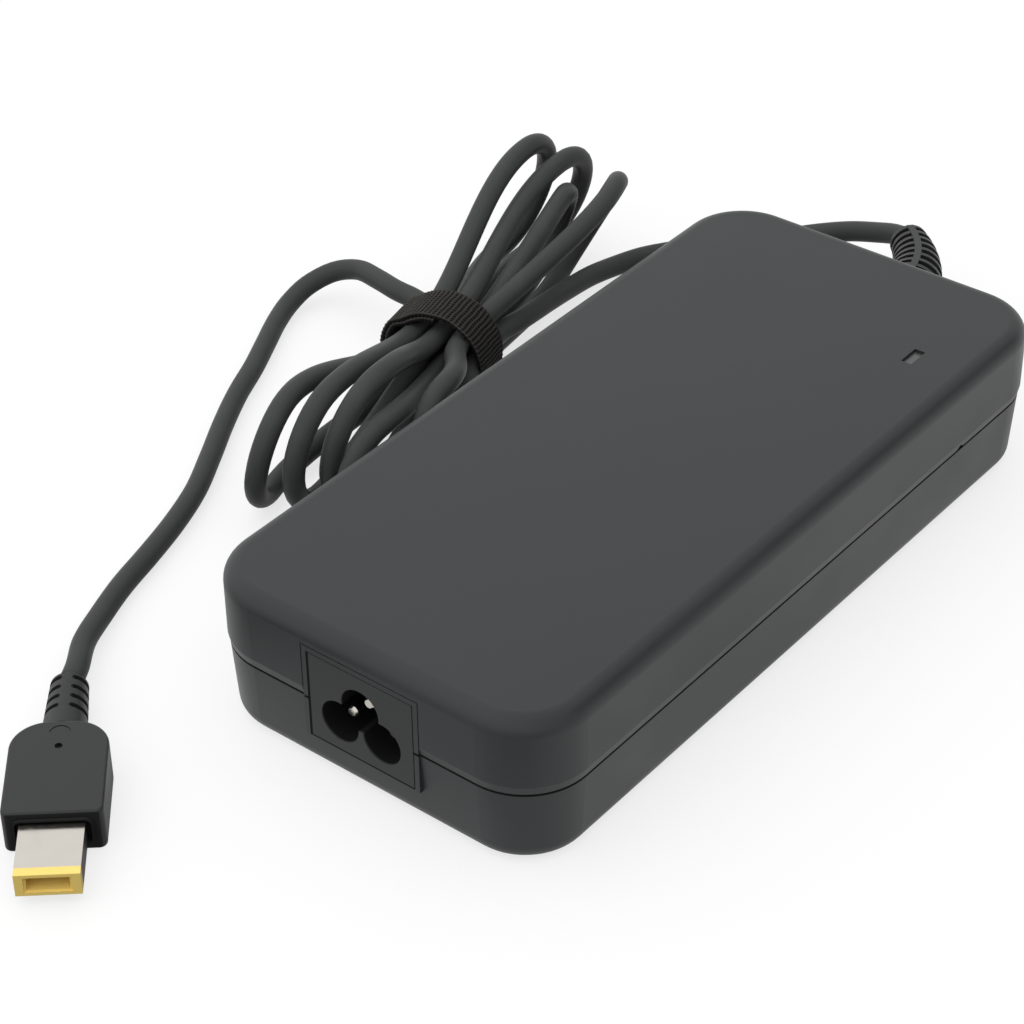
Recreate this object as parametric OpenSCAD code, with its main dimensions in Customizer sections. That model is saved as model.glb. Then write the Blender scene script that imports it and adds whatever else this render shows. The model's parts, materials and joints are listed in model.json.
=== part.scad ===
// Laptop power adapter: a closed brick with a three-pin mains inlet, and an output cord
// that is tied in a hank and ends in a rectangular connector.
// Millimetres. The origin is under the middle of the brick, on the surface it stands on.
// -Y is the mains end, +Y the output end, +Z up.

/* [Case] */
// Length of the brick
body_length = 160; // [152:1:180]
// Width of the brick
body_width = 75; // [72:1:82]
// Height of the brick
body_height = 31; // [31:0.5:36]
// Height of the parting line between the covers
parting_height = 15.5; // [14:0.5:18]
// Wall of both covers
wall = 2.2; // [2:0.1:2.6]
// Radius of the brick's upright corners
corner_radius = 13; // [10:0.5:16]
// Radius of the soft edge round the top
top_edge_radius = 3.2; // [1.5:0.1:4.5]
// Radius of the edge round the bottom
bottom_edge_radius = 3.5; // [1.5:0.1:5]
// Lean of the lower cover's sides
lower_draft = 3.5; // [0:0.5:5]
// Height of the bevel above the parting line
band_height = 2; // [1:0.1:3]
// How far the bevel steps in at the parting line
band_inset = 0.35; // [0.1:0.05:0.6]
// Height of the fine gap at the parting line
seam_gap = 0.3; // [0.1:0.05:0.5]
// Depth of the fine gap at the parting line
seam_depth = 0.5; // [0.3:0.05:0.6]
// Height of the lower cover's lip inside the upper one
lip_height = 2.5; // [1:0.1:4]
// Thickness of that lip
lip_thickness = 0.9; // [0.6:0.1:1]
// Radius of the mould notch in the long side
notch_radius = 0.8; // [0.4:0.1:1.2]
// Distance of the mould notch from the output end
notch_from_output = 31; // [20:1:60]

/* [Mains inlet] */
// Width of the inlet's face plate
inlet_width = 22.8; // [21:0.1:25]
// Height of the inlet's face plate
inlet_height = 18; // [17:0.1:18.4]
// Height of the face plate's lower edge
inlet_base = 7.6; // [7.4:0.1:8]
// Depth of the inlet's housing behind the end face
inlet_depth = 21; // [19:0.5:22]
// Depth of the three-lobed recess
recess_depth = 15; // [12:0.5:17]
// Radius of each lobe
lobe_radius = 4.1; // [3.9:0.1:4.4]
// Half the distance between the two lower lobes
lobe_half_spacing = 4.6; // [4.4:0.1:5]
// Height of the lower lobes above the face plate's lower edge
lower_lobe_height = 6.4; // [5.5:0.1:7]
// How much higher the upper lobe is
lobe_rise = 4.7; // [4.2:0.1:5.2]
// Diameter of the contact pins
pin_diameter = 2.36; // [2:0.02:2.6]
// How far behind the end face the earth pin starts
earth_pin_setback = 2.2; // [1:0.1:4]
// How far behind the end face the live pins start
live_pin_setback = 3; // [1:0.1:5]
// Width of the frame round the face plate
inlet_frame = 1; // [0.6:0.1:1.4]
// Rim that holds the inlet behind the covers
inlet_flange = 1.6; // [1:0.1:1.8]

/* [Lamp window] */
// Length of the window
window_length = 5; // [3:0.1:6]
// Width of the window
window_width = 2.2; // [1.4:0.1:3]
// Distance of the window from the middle line
window_from_middle = 25.1; // [22:0.1:26]
// Distance of the window from the output end
window_from_output = 29.9; // [26:0.1:32]
// How deep the light pipe's end lies under the top
window_depth = 0.6; // [0.2:0.1:1]

/* [Output strain relief] */
// Distance of the cord exit from the middle line
exit_x = 1.5; // [0:0.5:8]
// Radius of the hole for the cord in the end wall
exit_radius = 4.5; // [4:0.1:5]
// Radius of the sleeve at its root
sleeve_root_radius = 7; // [5.5:0.1:7.2]
// Radius of the sleeve at its tip
sleeve_tip_radius = 4; // [3.4:0.1:4.4]
// Radius of the sleeve's solid core
sleeve_core_radius = 2.7; // [2.4:0.1:2.9]
// Radius of the bend that the sleeve is set in
sleeve_bend_radius = 34; // [30:1:38]
// Angle of that bend
sleeve_bend = 50; // [42:1:57]
// Thickness of the collar against the end wall
sleeve_collar = 2; // [2:0.5:4]
// Number of ribs on the bend
sleeve_ribs = 11; // [7:1:13]
// Thickness of each rib
sleeve_rib = 1.1; // [1:0.1:2]
// Width of the spine that joins the ribs
sleeve_spine = 1.4; // [1.4:0.1:2.8]
// Flange inside the end wall
sleeve_flange = 2; // [1:0.1:3]

/* [Cord] */
// Diameter of the output cord
cord_diameter = 4.4; // [4:0.1:4.5]

/* [Hank] */
// Distance of the hank's waist from the side of the brick
hank_offset = 28.8; // [28:0.2:36]
// Place of the waist along the brick
waist_y = 22.5; // [10:0.5:30]
// Height of the waist
waist_z = 11.2; // [11.2:0.1:13]
// Turn of the waist away from the brick's length
waist_turn = 12; // [8:1:14]
// Spacing of the strands in the waist
strand_pitch = 5; // [4.9:0.05:5.2]
// How far the hank's ends stand out of the waist
hank_tail = 5.5; // [5:0.5:8]

/* [Strap] */
// Inner radius of the strap
strap_radius = 10.1; // [10:0.1:10.3]
// Thickness of the strap
strap_thickness = 0.9; // [0.5:0.1:1.1]
// Width of the strap
strap_width = 9.6; // [6:0.2:12]
// Arc over which the strap lies double
strap_overlap = 65; // [30:5:80]

/* [Connector] */
// Place of the connector's tip across the brick
plug_x = -23.3; // [-30:0.1:-15]
// Place of the connector's tip along the brick
plug_y = -131.4; // [-140:0.1:-125]
// Direction in which the connector points
plug_turn = 41.5; // [30:0.5:50]
// Width of the metal barrel
barrel_width = 11; // [10:0.1:12]
// Height of the metal barrel
barrel_height = 4.5; // [4:0.1:5]
// Wall of the barrel
barrel_wall = 0.35; // [0.2:0.05:0.5]
// Length of the barrel and insert in front of the housing
tip_length = 12.6; // [10:0.1:14]
// Length of the insert's collar in front of the barrel
insert_collar = 1.8; // [1.5:0.1:3]
// Width of the insert's mouth
mouth_width = 7.2; // [5:0.1:7.5]
// Height of the insert's mouth
mouth_height = 2.8; // [2:0.1:2.9]
// Depth of the insert's mouth
mouth_depth = 9; // [6:0.5:10]
// Diameter of the pin in the mouth
plug_pin_diameter = 1; // [0.6:0.1:1.4]
// Width of the rim round the barrel's root
plug_rim = 1.25; // [0.8:0.05:1.6]
// Radius of that rim's corners
plug_rim_corner = 1.4; // [1:0.1:1.8]
// Width of the connector's housing
plug_width = 17.2; // [15:0.1:18]
// Thickness of the connector's housing
plug_thickness = 8.5; // [8.3:0.1:11]
// Length of the connector's housing
plug_length = 23.4; // [20:0.1:28]
// Radius of the housing's shoulders
plug_shoulder = 6.6; // [4:0.1:7]
// Radius of the housing's front corners
plug_corner = 1.4; // [1.4:0.1:3]
// Radius of the housing's edges
plug_edge = 0.5; // [0.4:0.1:1]
// Length of the connector's strain relief
boot_length = 15; // [14:0.5:22]
// Radius of the strain relief at the housing
boot_root_radius = 4.1; // [3.6:0.1:4.1]
// Radius of the strain relief at the cord
boot_tip_radius = 3.4; // [2.9:0.1:3.5]
// Radius of its solid core
boot_core_radius = 2.6; // [2.4:0.1:2.8]
// Number of slots along each side
boot_slots = 4; // [2:1:6]
// Width of each slot
boot_slot = 1.1; // [0.8:0.1:1.8]
// Width of the spine between the slots
boot_spine = 1.7; // [1.4:0.1:3]

/* [Circuit board] */
// Thickness of the board
board_thickness = 1.6; // [1:0.1:2]
// Height of the board's upper face
board_top = 7; // [6.5:0.1:7.2]
// Gap between the board's edge and the lower cover's side
board_side_gap = 2; // [1.5:0.1:3]
// Gap between the board's ends and the covers
board_end_gap = 3; // [3:0.1:4]
// Radius of the board's corners
board_corner = 6; // [4:0.5:8]
// Radius of the posts that carry the board
post_radius = 2.5; // [1.5:0.1:3]
// Thickness of the insulation sheet under the board
sheet_thickness = 0.4; // [0.2:0.1:0.8]
// Thickness of the heat-spreading shield over the board
shield_thickness = 0.8; // [0.5:0.1:1]
// Gap between the shield and the top
shield_gap = 0.6; // [0.3:0.1:1]
// Distance of the end posts from the brick's ends
post_from_end = 24.5; // [20:0.5:30]
// Distance of the shield from the mains end
shield_from_mains = 27; // [25:0.5:30]
// Distance of the shield from the output end
shield_from_output = 20; // [18:0.5:24]
// Gap between neighbouring parts on the board
part_gap = 1.5; // [1:0.1:2]
// Gap between the tallest parts and the shield
head_room = 1.4; // [1:0.1:3]
// Share of the room behind the inlet that the mains filter takes
filter_share = 0.215; // [0.2:0.005:0.22]
// Share of that room for the boost parts
boost_share = 0.275; // [0.26:0.005:0.28]
// Share of that room for the transformer
transformer_share = 0.24; // [0.22:0.005:0.25]
// Diameter of the parts' wire leads
lead_diameter = 0.8; // [0.5:0.1:1]
// Height at which leaded parts stand over the board
standoff = 1; // [0.5:0.1:1.5]

/* [Mains side parts] */
// Radius of the fuse
fuse_radius = 2.6; // [2:0.1:3]
// Length of the fuse
fuse_length = 13; // [8:0.5:14]
// Radius of the varistor
varistor_radius = 6; // [4:0.5:7]
// Thickness of the varistor
varistor_thickness = 4.5; // [3:0.5:5]
// Radius of the thermistor
thermistor_radius = 5; // [4:0.5:6]
// Thickness of the thermistor
thermistor_thickness = 3.5; // [2.5:0.5:4.5]
// Width of the X capacitor as a share of the board's width
x_capacitor_share = 0.185; // [0.15:0.005:0.2]
// Width of the common-mode choke as a share of the board's width
choke_share = 0.31; // [0.28:0.005:0.32]
// Inner radius of that choke's core
choke_bore = 4.5; // [4:0.5:5.5]
// Height of that core
choke_height = 8; // [6:0.5:10]
// Thickness of the windings on that core
choke_wire = 1.5; // [1:0.1:1.8]
// Width of the bridge rectifier as a share of the board's width
bridge_share = 0.25; // [0.2:0.01:0.26]
// Thickness of the bridge rectifier
bridge_thickness = 4; // [3:0.5:5]
// Width of the boost choke as a share of the board's width
boost_choke_share = 0.31; // [0.26:0.01:0.32]
// Thickness of both heat sinks
sink_thickness = 2; // [1.5:0.1:2.5]
// Length of both heat sinks
sink_length = 38; // [34:1:40]
// Width of a power semiconductor
chip_width = 10; // [8:0.5:11]
// Thickness of a power semiconductor
chip_thickness = 4.6; // [3.5:0.1:5]
// Thickness of its metal tab
tab_thickness = 1.3; // [1:0.1:1.5]
// Diameter of the screws that hold the semiconductors
screw_diameter = 3; // [2.5:0.1:3.2]
// Height of those screws' heads
screw_head = 1.6; // [1.2:0.1:2]

/* [Transformer] */
// Width of the ferrite core as a share of the board's width
core_share = 0.52; // [0.48:0.01:0.55]
// Thickness of the core's yokes and outer legs
core_leg = 5; // [4:0.5:6]
// Width of the core's middle leg
core_middle = 9; // [8:0.5:10]
// Wall of the bobbin
bobbin_wall = 0.9; // [0.6:0.1:1]
// Height of the winding over the bobbin
winding_build = 3.2; // [2:0.1:3.4]

/* [Output side parts] */
// Radius of the output capacitors
output_capacitor_radius = 5; // [4:0.1:5.2]
// Outer radius of the output choke
output_choke_radius = 7; // [5:0.5:7]
// Inner radius of the output choke
output_choke_bore = 3; // [2:0.5:4]
// Height of the output choke
output_choke_height = 8; // [5:0.5:10]
// Radius of the Y capacitors
y_capacitor_radius = 4; // [3:0.5:5]
// Thickness of the Y capacitors
y_capacitor_thickness = 3; // [2:0.5:4]
// Width of the optocoupler
optocoupler_width = 6.5; // [5:0.5:7]
// Length of the optocoupler
optocoupler_length = 9; // [4.5:0.5:10]
// Height of the optocoupler
optocoupler_height = 3.5; // [2.5:0.5:4]
// Width of a control chip
control_chip_width = 6; // [4:0.5:7]
// Length of a control chip
control_chip_length = 5; // [4:0.5:6]
// Height of a control chip
control_chip_height = 1.6; // [1:0.1:2]
// Radius of the status lamp
lamp_radius = 2.5; // [2:0.1:3]
// Height of the status lamp
lamp_height = 4; // [3:0.5:6]
// Diameter of the output wires
wire_diameter = 2; // [1.2:0.1:2.4]

/* [Fits] */
// Clearance between parts that fit into each other
fit_gap = 0.2; // [0.1:0.05:0.3]

/* [Hidden] */
$fn = 48;

half_length = body_length / 2;
half_width = body_width / 2;
shell_depth = corner_radius - 1;
ceiling = body_height - wall;
draft_tan = tan(lower_draft);
charcoal = "#3c3e40";
black_rubber = "#2b2c2d";
cord_black = "#303132";
steel = "#c9cacb";
copper = "#b8743a";

function from_mains(distance) = -half_length + distance;
function from_output(distance) = half_length - distance;

// A block with a rounded plan. The child is the profile of its side, drawn from -depth to 0
// across and from bottom to top up the page; it runs round all four sides.
module swept_block(width, length, radius, depth, bottom, top) {
    side_run = length - 2 * radius;
    end_run = width - 2 * radius;
    for (corner = [[1, 1, 0], [-1, 1, 90], [-1, -1, 180], [1, -1, 270]])
        translate([corner[0] * end_run / 2, corner[1] * side_run / 2, 0])
            rotate([0, 0, corner[2]])
                rotate_extrude(angle = 90) {
                    translate([radius, 0])
                        children();
                    translate([0, bottom])
                        square([radius - depth, top - bottom]);
                }
    for (side = [[width / 2, 0, side_run], [length / 2, 90, end_run], [width / 2, 180, side_run],
        [length / 2, 270, end_run]])
        rotate([0, 0, side[1]])
            translate([side[0], 0, 0])
                rotate([90, 0, 0])
                    linear_extrude(side[2], center = true)
                        children();
    translate([0, 0, bottom])
        linear_extrude(top - bottom) {
            square([width - 2 * depth, side_run], center = true);
            square([end_run, length - 2 * depth], center = true);
        }
}

module case_block(bottom, top) {
    swept_block(body_width, body_length, corner_radius, shell_depth, bottom, top)
        children();
}

// Profiles of the covers: outer side, and the hollow inside it
seat = wall - lip_thickness;

module upper_profile() {
    polygon([
        [-shell_depth, parting_height], [-band_inset - seam_depth, parting_height],
        [-band_inset - seam_depth, parting_height + seam_gap], [-band_inset, parting_height + seam_gap],
        [0, parting_height + band_height], [0, body_height - top_edge_radius],
        [-top_edge_radius, body_height - top_edge_radius], [-top_edge_radius, body_height],
        [-shell_depth, body_height]
    ]);
    translate([-top_edge_radius, body_height - top_edge_radius])
        circle(top_edge_radius);
}

module upper_hollow() {
    polygon([
        [-shell_depth, parting_height - wall], [-seat, parting_height - wall],
        [-seat, parting_height + lip_height + fit_gap], [-wall, parting_height + lip_height + fit_gap],
        [-wall, ceiling], [-shell_depth, ceiling]
    ]);
}

function lower_side(height) = -band_inset - (parting_height - height) * draft_tan;
edge_centre = lower_side(bottom_edge_radius) - bottom_edge_radius / cos(lower_draft);

module lower_profile() {
    polygon([
        [-shell_depth, 0], [edge_centre, 0], [edge_centre, bottom_edge_radius],
        [edge_centre + bottom_edge_radius * cos(lower_draft), bottom_edge_radius * (1 - sin(lower_draft))],
        [-band_inset, parting_height], [-seat - fit_gap, parting_height],
        [-seat - fit_gap, parting_height + lip_height], [-shell_depth, parting_height + lip_height]
    ]);
    translate([edge_centre, bottom_edge_radius])
        circle(bottom_edge_radius);
}

lip_inside = -seat - fit_gap - lip_thickness;
floor_inside = lower_side(wall) - wall;

// Inner face of the lower cover's side at a height
function lower_inside(height) =
    lip_inside + (floor_inside - lip_inside) * (parting_height - height) / (parting_height - wall);

module lower_hollow() {
    polygon([
        [-shell_depth, wall], [floor_inside, wall], [lip_inside, parting_height],
        [lip_inside, parting_height + lip_height + wall], [-shell_depth, parting_height + lip_height + wall]
    ]);
}

// A box on its middle at the origin
module standing_box(width, length, height) {
    translate([-width / 2, -length / 2, 0])
        cube([width, length, height]);
}

module along_y(place, length, radius, end_radius) {
    translate(place)
        rotate([-90, 0, 0])
            cylinder(h = length, r1 = radius, r2 = end_radius);
}

// Mains inlet: what the covers and the inlet share
inlet_top = inlet_base + inlet_height;
lower_lobe_z = inlet_base + lower_lobe_height;
upper_lobe_z = lower_lobe_z + lobe_rise;
opening_width = inlet_width + 2 * fit_gap;
inlet_plate = fit_gap - lower_inside(board_top);

module inlet_frame_block(low, high, depth) {
    translate([-opening_width / 2 - inlet_frame, -half_length, low])
        cube([opening_width + 2 * inlet_frame, depth, high - low]);
}

module inlet_frame_line() {
    line = fit_gap;
    reach = opening_width / 2 + inlet_frame;
    translate([-reach - line, -half_length - line, parting_height])
        cube([line, 2 * line, inlet_top + inlet_frame + 2 * line - parting_height]);
    translate([reach, -half_length - line, parting_height])
        cube([line, 2 * line, inlet_top + inlet_frame + 2 * line - parting_height]);
    translate([-reach, -half_length - line, inlet_top + inlet_frame + line])
        cube([2 * reach, 2 * line, line]);
}

module inlet_opening() {
    translate([-opening_width / 2, -half_length - wall, inlet_base - fit_gap])
        cube([opening_width, 3 * wall, inlet_height + 2 * fit_gap]);
}

exit_z = parting_height;

module exit_hole() {
    along_y([exit_x, half_length - 2 * wall, exit_z], 3 * wall, exit_radius, exit_radius);
}

window_x = window_from_middle;
window_y = from_output(window_from_output);

module top_cover() {
    color(charcoal)
        difference() {
            union() {
                difference() {
                    case_block(parting_height, body_height)
                        upper_profile();
                    case_block(parting_height - wall, ceiling)
                        upper_hollow();
                }
                inlet_frame_block(parting_height + seam_gap, inlet_top + inlet_frame + fit_gap, seat);
            }
            inlet_opening();
            inlet_frame_line();
            exit_hole();
            translate([window_x, window_y, body_height])
                cube([window_width, window_length, 3 * wall], center = true);
            translate([half_width, from_output(notch_from_output), parting_height + seam_gap])
                rotate([0, 90, 0])
                    cylinder(h = 2 * notch_radius, r = notch_radius, center = true);
        }
}

post_places = [
    for (side = [-1, 1])
        for (place = [from_mains(post_from_end), 0, from_output(post_from_end)])
            [side * (half_width - corner_radius + post_radius), place]
];
board_bottom = board_top - board_thickness;

module bottom_cover() {
    color(charcoal)
        difference() {
            union() {
                difference() {
                    case_block(0, parting_height + lip_height)
                        lower_profile();
                    case_block(wall, parting_height + lip_height + wall)
                        lower_hollow();
                }
                inlet_frame_block(inlet_base - fit_gap, parting_height, wall);
                for (place = post_places)
                    translate([place[0], place[1], wall / 2])
                        cylinder(h = board_bottom - wall / 2, r = post_radius);
            }
            inlet_opening();
            exit_hole();
        }
}

module lobes(radius) {
    for (side = [-1, 1])
        translate([side * lobe_half_spacing, lower_lobe_z])
            circle(radius);
    translate([0, upper_lobe_z])
        circle(radius);
    polygon([[-lobe_half_spacing, lower_lobe_z], [lobe_half_spacing, lower_lobe_z], [0, upper_lobe_z]]);
}

pin_radius = pin_diameter / 2;
pin_places = [[-lobe_half_spacing, lower_lobe_z], [lobe_half_spacing, lower_lobe_z], [0, upper_lobe_z]];
inlet_body_top = inlet_top - fit_gap;

module inlet_housing() {
    color("#2f3132")
        difference() {
            union() {
                translate([-inlet_width / 2, -half_length, inlet_base])
                    cube([inlet_width, inlet_plate, inlet_height]);
                translate([-opening_width / 2 - inlet_flange, from_mains(inlet_plate), board_top])
                    cube([opening_width + 2 * inlet_flange, inlet_flange,
                        inlet_body_top + inlet_flange - board_top]);
                translate([-inlet_width / 2, from_mains(inlet_plate), board_top])
                    cube([inlet_width, inlet_depth - inlet_plate, inlet_body_top - board_top]);
            }
            translate([0, from_mains(recess_depth), 0])
                rotate([90, 0, 0])
                    linear_extrude(recess_depth + wall)
                        lobes(lobe_radius);
            for (place = pin_places)
                along_y([place[0], -half_length, place[1]], inlet_depth + wall, pin_radius, pin_radius);
        }
}

// One contact pin: a round pin with a bevelled tip, and a tail that reaches down to the board
module contact_pin(place, setback) {
    bevel = pin_radius / 3;
    tail_y = inlet_depth + pin_radius + fit_gap;
    color(steel) {
        along_y([place[0], from_mains(setback), place[1]], bevel, pin_radius - bevel, pin_radius);
        along_y([place[0], from_mains(setback + bevel), place[1]], tail_y - setback - bevel, pin_radius,
            pin_radius);
        translate([place[0], from_mains(tail_y), board_top])
            cylinder(h = place[1] + pin_radius - board_top, r = pin_radius);
    }
}

module light_pipe() {
    pipe_bottom = board_top + lamp_height + fit_gap;
    collar = window_width;
    color("#dfe6e2", 0.7) {
        translate([window_x, window_y, pipe_bottom])
            standing_box(window_width - fit_gap, window_length - fit_gap,
                body_height - window_depth - pipe_bottom);
        translate([window_x, window_y, ceiling - shield_gap])
            standing_box(2 * collar, window_length + 2 * fit_gap, shield_gap);
    }
}

// Output strain relief: a ribbed sleeve set in a bend towards -X
bend_centre = [exit_x - sleeve_bend_radius, half_length + sleeve_collar, exit_z];
sleeve_end = bend_centre + sleeve_bend_radius * [cos(sleeve_bend), sin(sleeve_bend), 0];
sleeve_end_dir = [-sin(sleeve_bend), cos(sleeve_bend), 0];
function sleeve_radius(share) = sleeve_root_radius + (sleeve_tip_radius - sleeve_root_radius) * share;

module on_bend(angle) {
    translate(bend_centre)
        rotate([0, 0, angle])
            translate([sleeve_bend_radius, 0, 0])
                children();
}

flange_face = half_length + lower_inside(exit_z - sleeve_root_radius) - fit_gap;
inner_end = flange_face - sleeve_flange;

module output_strain_relief() {
    arc_length = PI / 180 * sleeve_bend_radius;
    pitch = (sleeve_bend - sleeve_rib / arc_length / 2) / sleeve_ribs;
    rib_share = sleeve_rib / arc_length / pitch / 2;
    taper = atan((sleeve_root_radius - sleeve_tip_radius) / (sleeve_bend * arc_length));
    spine_rise = 0.06;
    color(black_rubber) {
        along_y([exit_x, inner_end, exit_z], half_length + sleeve_collar - inner_end, sleeve_core_radius,
            sleeve_core_radius);
        along_y([exit_x, inner_end, exit_z], sleeve_flange, sleeve_root_radius, sleeve_root_radius);
        along_y([exit_x, inner_end, exit_z], half_length + 2 * fit_gap - inner_end, exit_radius - fit_gap,
            exit_radius - fit_gap);
        along_y([exit_x, half_length + fit_gap, exit_z], sleeve_collar - fit_gap, sleeve_root_radius,
            sleeve_root_radius);
        translate(bend_centre)
            rotate_extrude(angle = sleeve_bend)
                translate([sleeve_bend_radius, 0])
                    circle(sleeve_core_radius);
        for (rib = [1:sleeve_ribs])
            on_bend(rib * pitch)
                rotate([-90, 0, 0])
                    cylinder(h = sleeve_rib, r1 = sleeve_radius((rib - rib_share) / sleeve_ribs),
                        r2 = sleeve_radius((rib + rib_share) / sleeve_ribs), center = true);
        // The spine joins the ribs above and below, in short tapered stretches
        for (rib = [1:sleeve_ribs])
            for (side = [-1, 1])
                on_bend((rib - 0.5) * pitch)
                    rotate([-side * taper, 0, 0])
                        translate([0, 0, side * (sleeve_radius((rib - 0.5) / sleeve_ribs) + spine_rise) / 2])
                            cube([sleeve_spine, pitch * arc_length,
                                sleeve_radius((rib - 0.5) / sleeve_ribs) + spine_rise], center = true);
    }
}

// Tubes along a route of points
function unit(v) = v / norm(v);
function tangent(route, i) =
    i == 0 ? unit(route[1] - route[0]) :
    i == len(route) - 1 ? unit(route[i] - route[i - 1]) :
    unit(unit(route[i + 1] - route[i]) + unit(route[i] - route[i - 1]));
function ring_side(t, side_hint) = unit(side_hint - (side_hint * t) * t);

module tube(route, radius, sides, side_hint) {
    rings = len(route);
    corners = [
        for (i = [0:rings - 1])
            let (t = tangent(route, i), a = ring_side(t, side_hint), b = cross(t, a))
                for (s = [0:sides - 1])
                    route[i] + radius * (cos(360 * s / sides) * a + sin(360 * s / sides) * b)
    ];
    walls = [
        for (i = [0:rings - 2])
            for (s = [0:sides - 1])
                let (n = (s + 1) % sides, low = i * sides, high = low + sides)
                    each [[low + s, high + s, high + n], [low + s, high + n, low + n]]
    ];
    start_cap = [for (s = [1:sides - 2]) [0, s, s + 1]];
    last = (rings - 1) * sides;
    end_cap = [for (s = [1:sides - 2]) [last, last + s + 1, last + s]];
    polyhedron(points = corners, faces = concat(walls, start_cap, end_cap), convexity = 10);
}

// The tied hank: loops that stand on edge, gathered in a round waist
cord_radius = cord_diameter / 2;
loops = 5;
run_rings = 5;
fold_rings = 8;
table_gap = 0.1;
least_gap_wanted = 0.4;
waist = [-(half_width + hank_offset), waist_y, waist_z];
waist_dir = [-sin(waist_turn), cos(waist_turn), 0];
waist_side = [cos(waist_turn), sin(waist_turn), 0];
row_pitch = strand_pitch * sin(60);
// Places of the strands in the waist, in pitches and rows: under, towards the mains end; over, back again
under_slots = [[1.5, 0], [1, -1], [0, -1], [-0.5, 0], [-1, -1]];
over_slots = [[1, 1], [0.5, 0], [0, 1], [-1, 1], [-1.5, 0]];
// Folds at the mains end and at the output end: place from the waist, turn, lean, radius
mains_folds = [
    [22.8, -25.1, -8.6, -9.8, 11], [17.9, -41.4, -4, 6.4, 10.4], [11.6, -35.8, -5.7, 8.4, 13.4],
    [5.9, -42.4, -10.8, 6.6, 12.3], [-2.1, -47.1, -18.1, 11, 10.9]
];
output_folds = [
    [-1.4, 48.7, 19.6, 27.5, 13.4], [-9.1, 45.9, 19.3, 17.7, 10.4], [-16.2, 56.3, 2.1, 14.6, 11.5],
    [-21.7, 49.9, 6.1, 13.3, 13.4]
];

function strand(slot, along) =
    waist + slot[0] * strand_pitch * waist_side + [0, 0, slot[1] * row_pitch] + along * waist_dir;
hank_start = strand(under_slots[0], hank_tail);
// The last strand leaves at a slant, towards the connector
finish_turn = waist_turn + 14;
finish_dir = [-sin(finish_turn), cos(finish_turn), 0];
hank_finish = strand(over_slots[loops - 1], 0) + hank_tail * finish_dir;
function fold_dir(fold, end) = [-sin(fold[2]), end * cos(fold[2]), 0];
function fold_up(fold, end) =
    sin(fold[3]) * [cos(fold[2]), end * sin(fold[2]), 0] + [0, 0, cos(fold[3])];
function fold_point(fold, end, angle) =
    [waist[0] + fold[0], waist[1] + fold[1], cord_radius + table_gap + fold[4] * cos(fold[3])]
    + fold[4] * (cos(angle) * fold_dir(fold, end) + sin(angle) * fold_up(fold, end));
// A smooth run between two points that leaves and arrives in the given directions
function run(from, from_dir, to, to_dir, share) =
    let (reach = norm(to - from), s2 = share * share, s3 = s2 * share)
        (2 * s3 - 3 * s2 + 1) * from + (s3 - 2 * s2 + share) * reach * from_dir
        + (3 * s2 - 2 * s3) * to + (s3 - s2) * reach * to_dir;
function half_loop(start, start_dir, fold, end, first, stop, stop_dir, run_steps, fold_steps) = concat(
    [for (i = [0:run_steps - 1])
        run(start, start_dir, fold_point(fold, end, first), fold_dir(fold, end), i / run_steps)],
    [for (i = [0:fold_steps - 1]) fold_point(fold, end, first - 2 * first * i / fold_steps)],
    [for (i = [0:run_steps - 1])
        run(fold_point(fold, end, -first), -fold_dir(fold, end), stop, stop_dir, i / run_steps)]
);
function hank_route(run_steps, fold_steps) = concat(
    [hank_start],
    [for (k = [0:loops - 1]) each concat(
        half_loop(strand(under_slots[k], 0), -waist_dir, mains_folds[k], -1, -90,
            strand(over_slots[k], 0), waist_dir, run_steps, fold_steps),
        k == loops - 1 ? [] :
        half_loop(strand(over_slots[k], 0), waist_dir, output_folds[k], 1, 90,
            strand(under_slots[k + 1], 0), -waist_dir, run_steps, fold_steps)
    )],
    [strand(over_slots[loops - 1], 0), hank_finish]
);
// Least gap between stretches of a route that aren't neighbours along it, on points between its rings
between = 4;
function finer(route) = [
    for (i = [0:len(route) - 2])
        for (f = [0:between - 1])
            route[i] + (route[i + 1] - route[i]) * f / between
];
function least_gap(route, apart) = min([
    for (i = [0:len(route) - 1 - apart])
        for (j = [i + apart:len(route) - 1])
            norm(route[i] - route[j])
]) - cord_diameter;

module cord_hank() {
    route = hank_route(run_rings, fold_rings);
    echo(str("Least gap of the hank to itself: ", least_gap(finer(route), 4 * between), " mm, wanted over ",
        least_gap_wanted));
    color(cord_black)
        tube(route, cord_radius, 6, waist_side);
}

// Free stretches of the cord
plug_back = [-sin(plug_turn), cos(plug_turn), 0];
boot_end = [plug_x, plug_y, plug_thickness / 2] + (tip_length + plug_length + boot_length) * plug_back;
boot_bend_turn = plug_turn - 12;
boot_bend_dir = [-sin(boot_bend_turn), cos(boot_bend_turn), 0];

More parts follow.
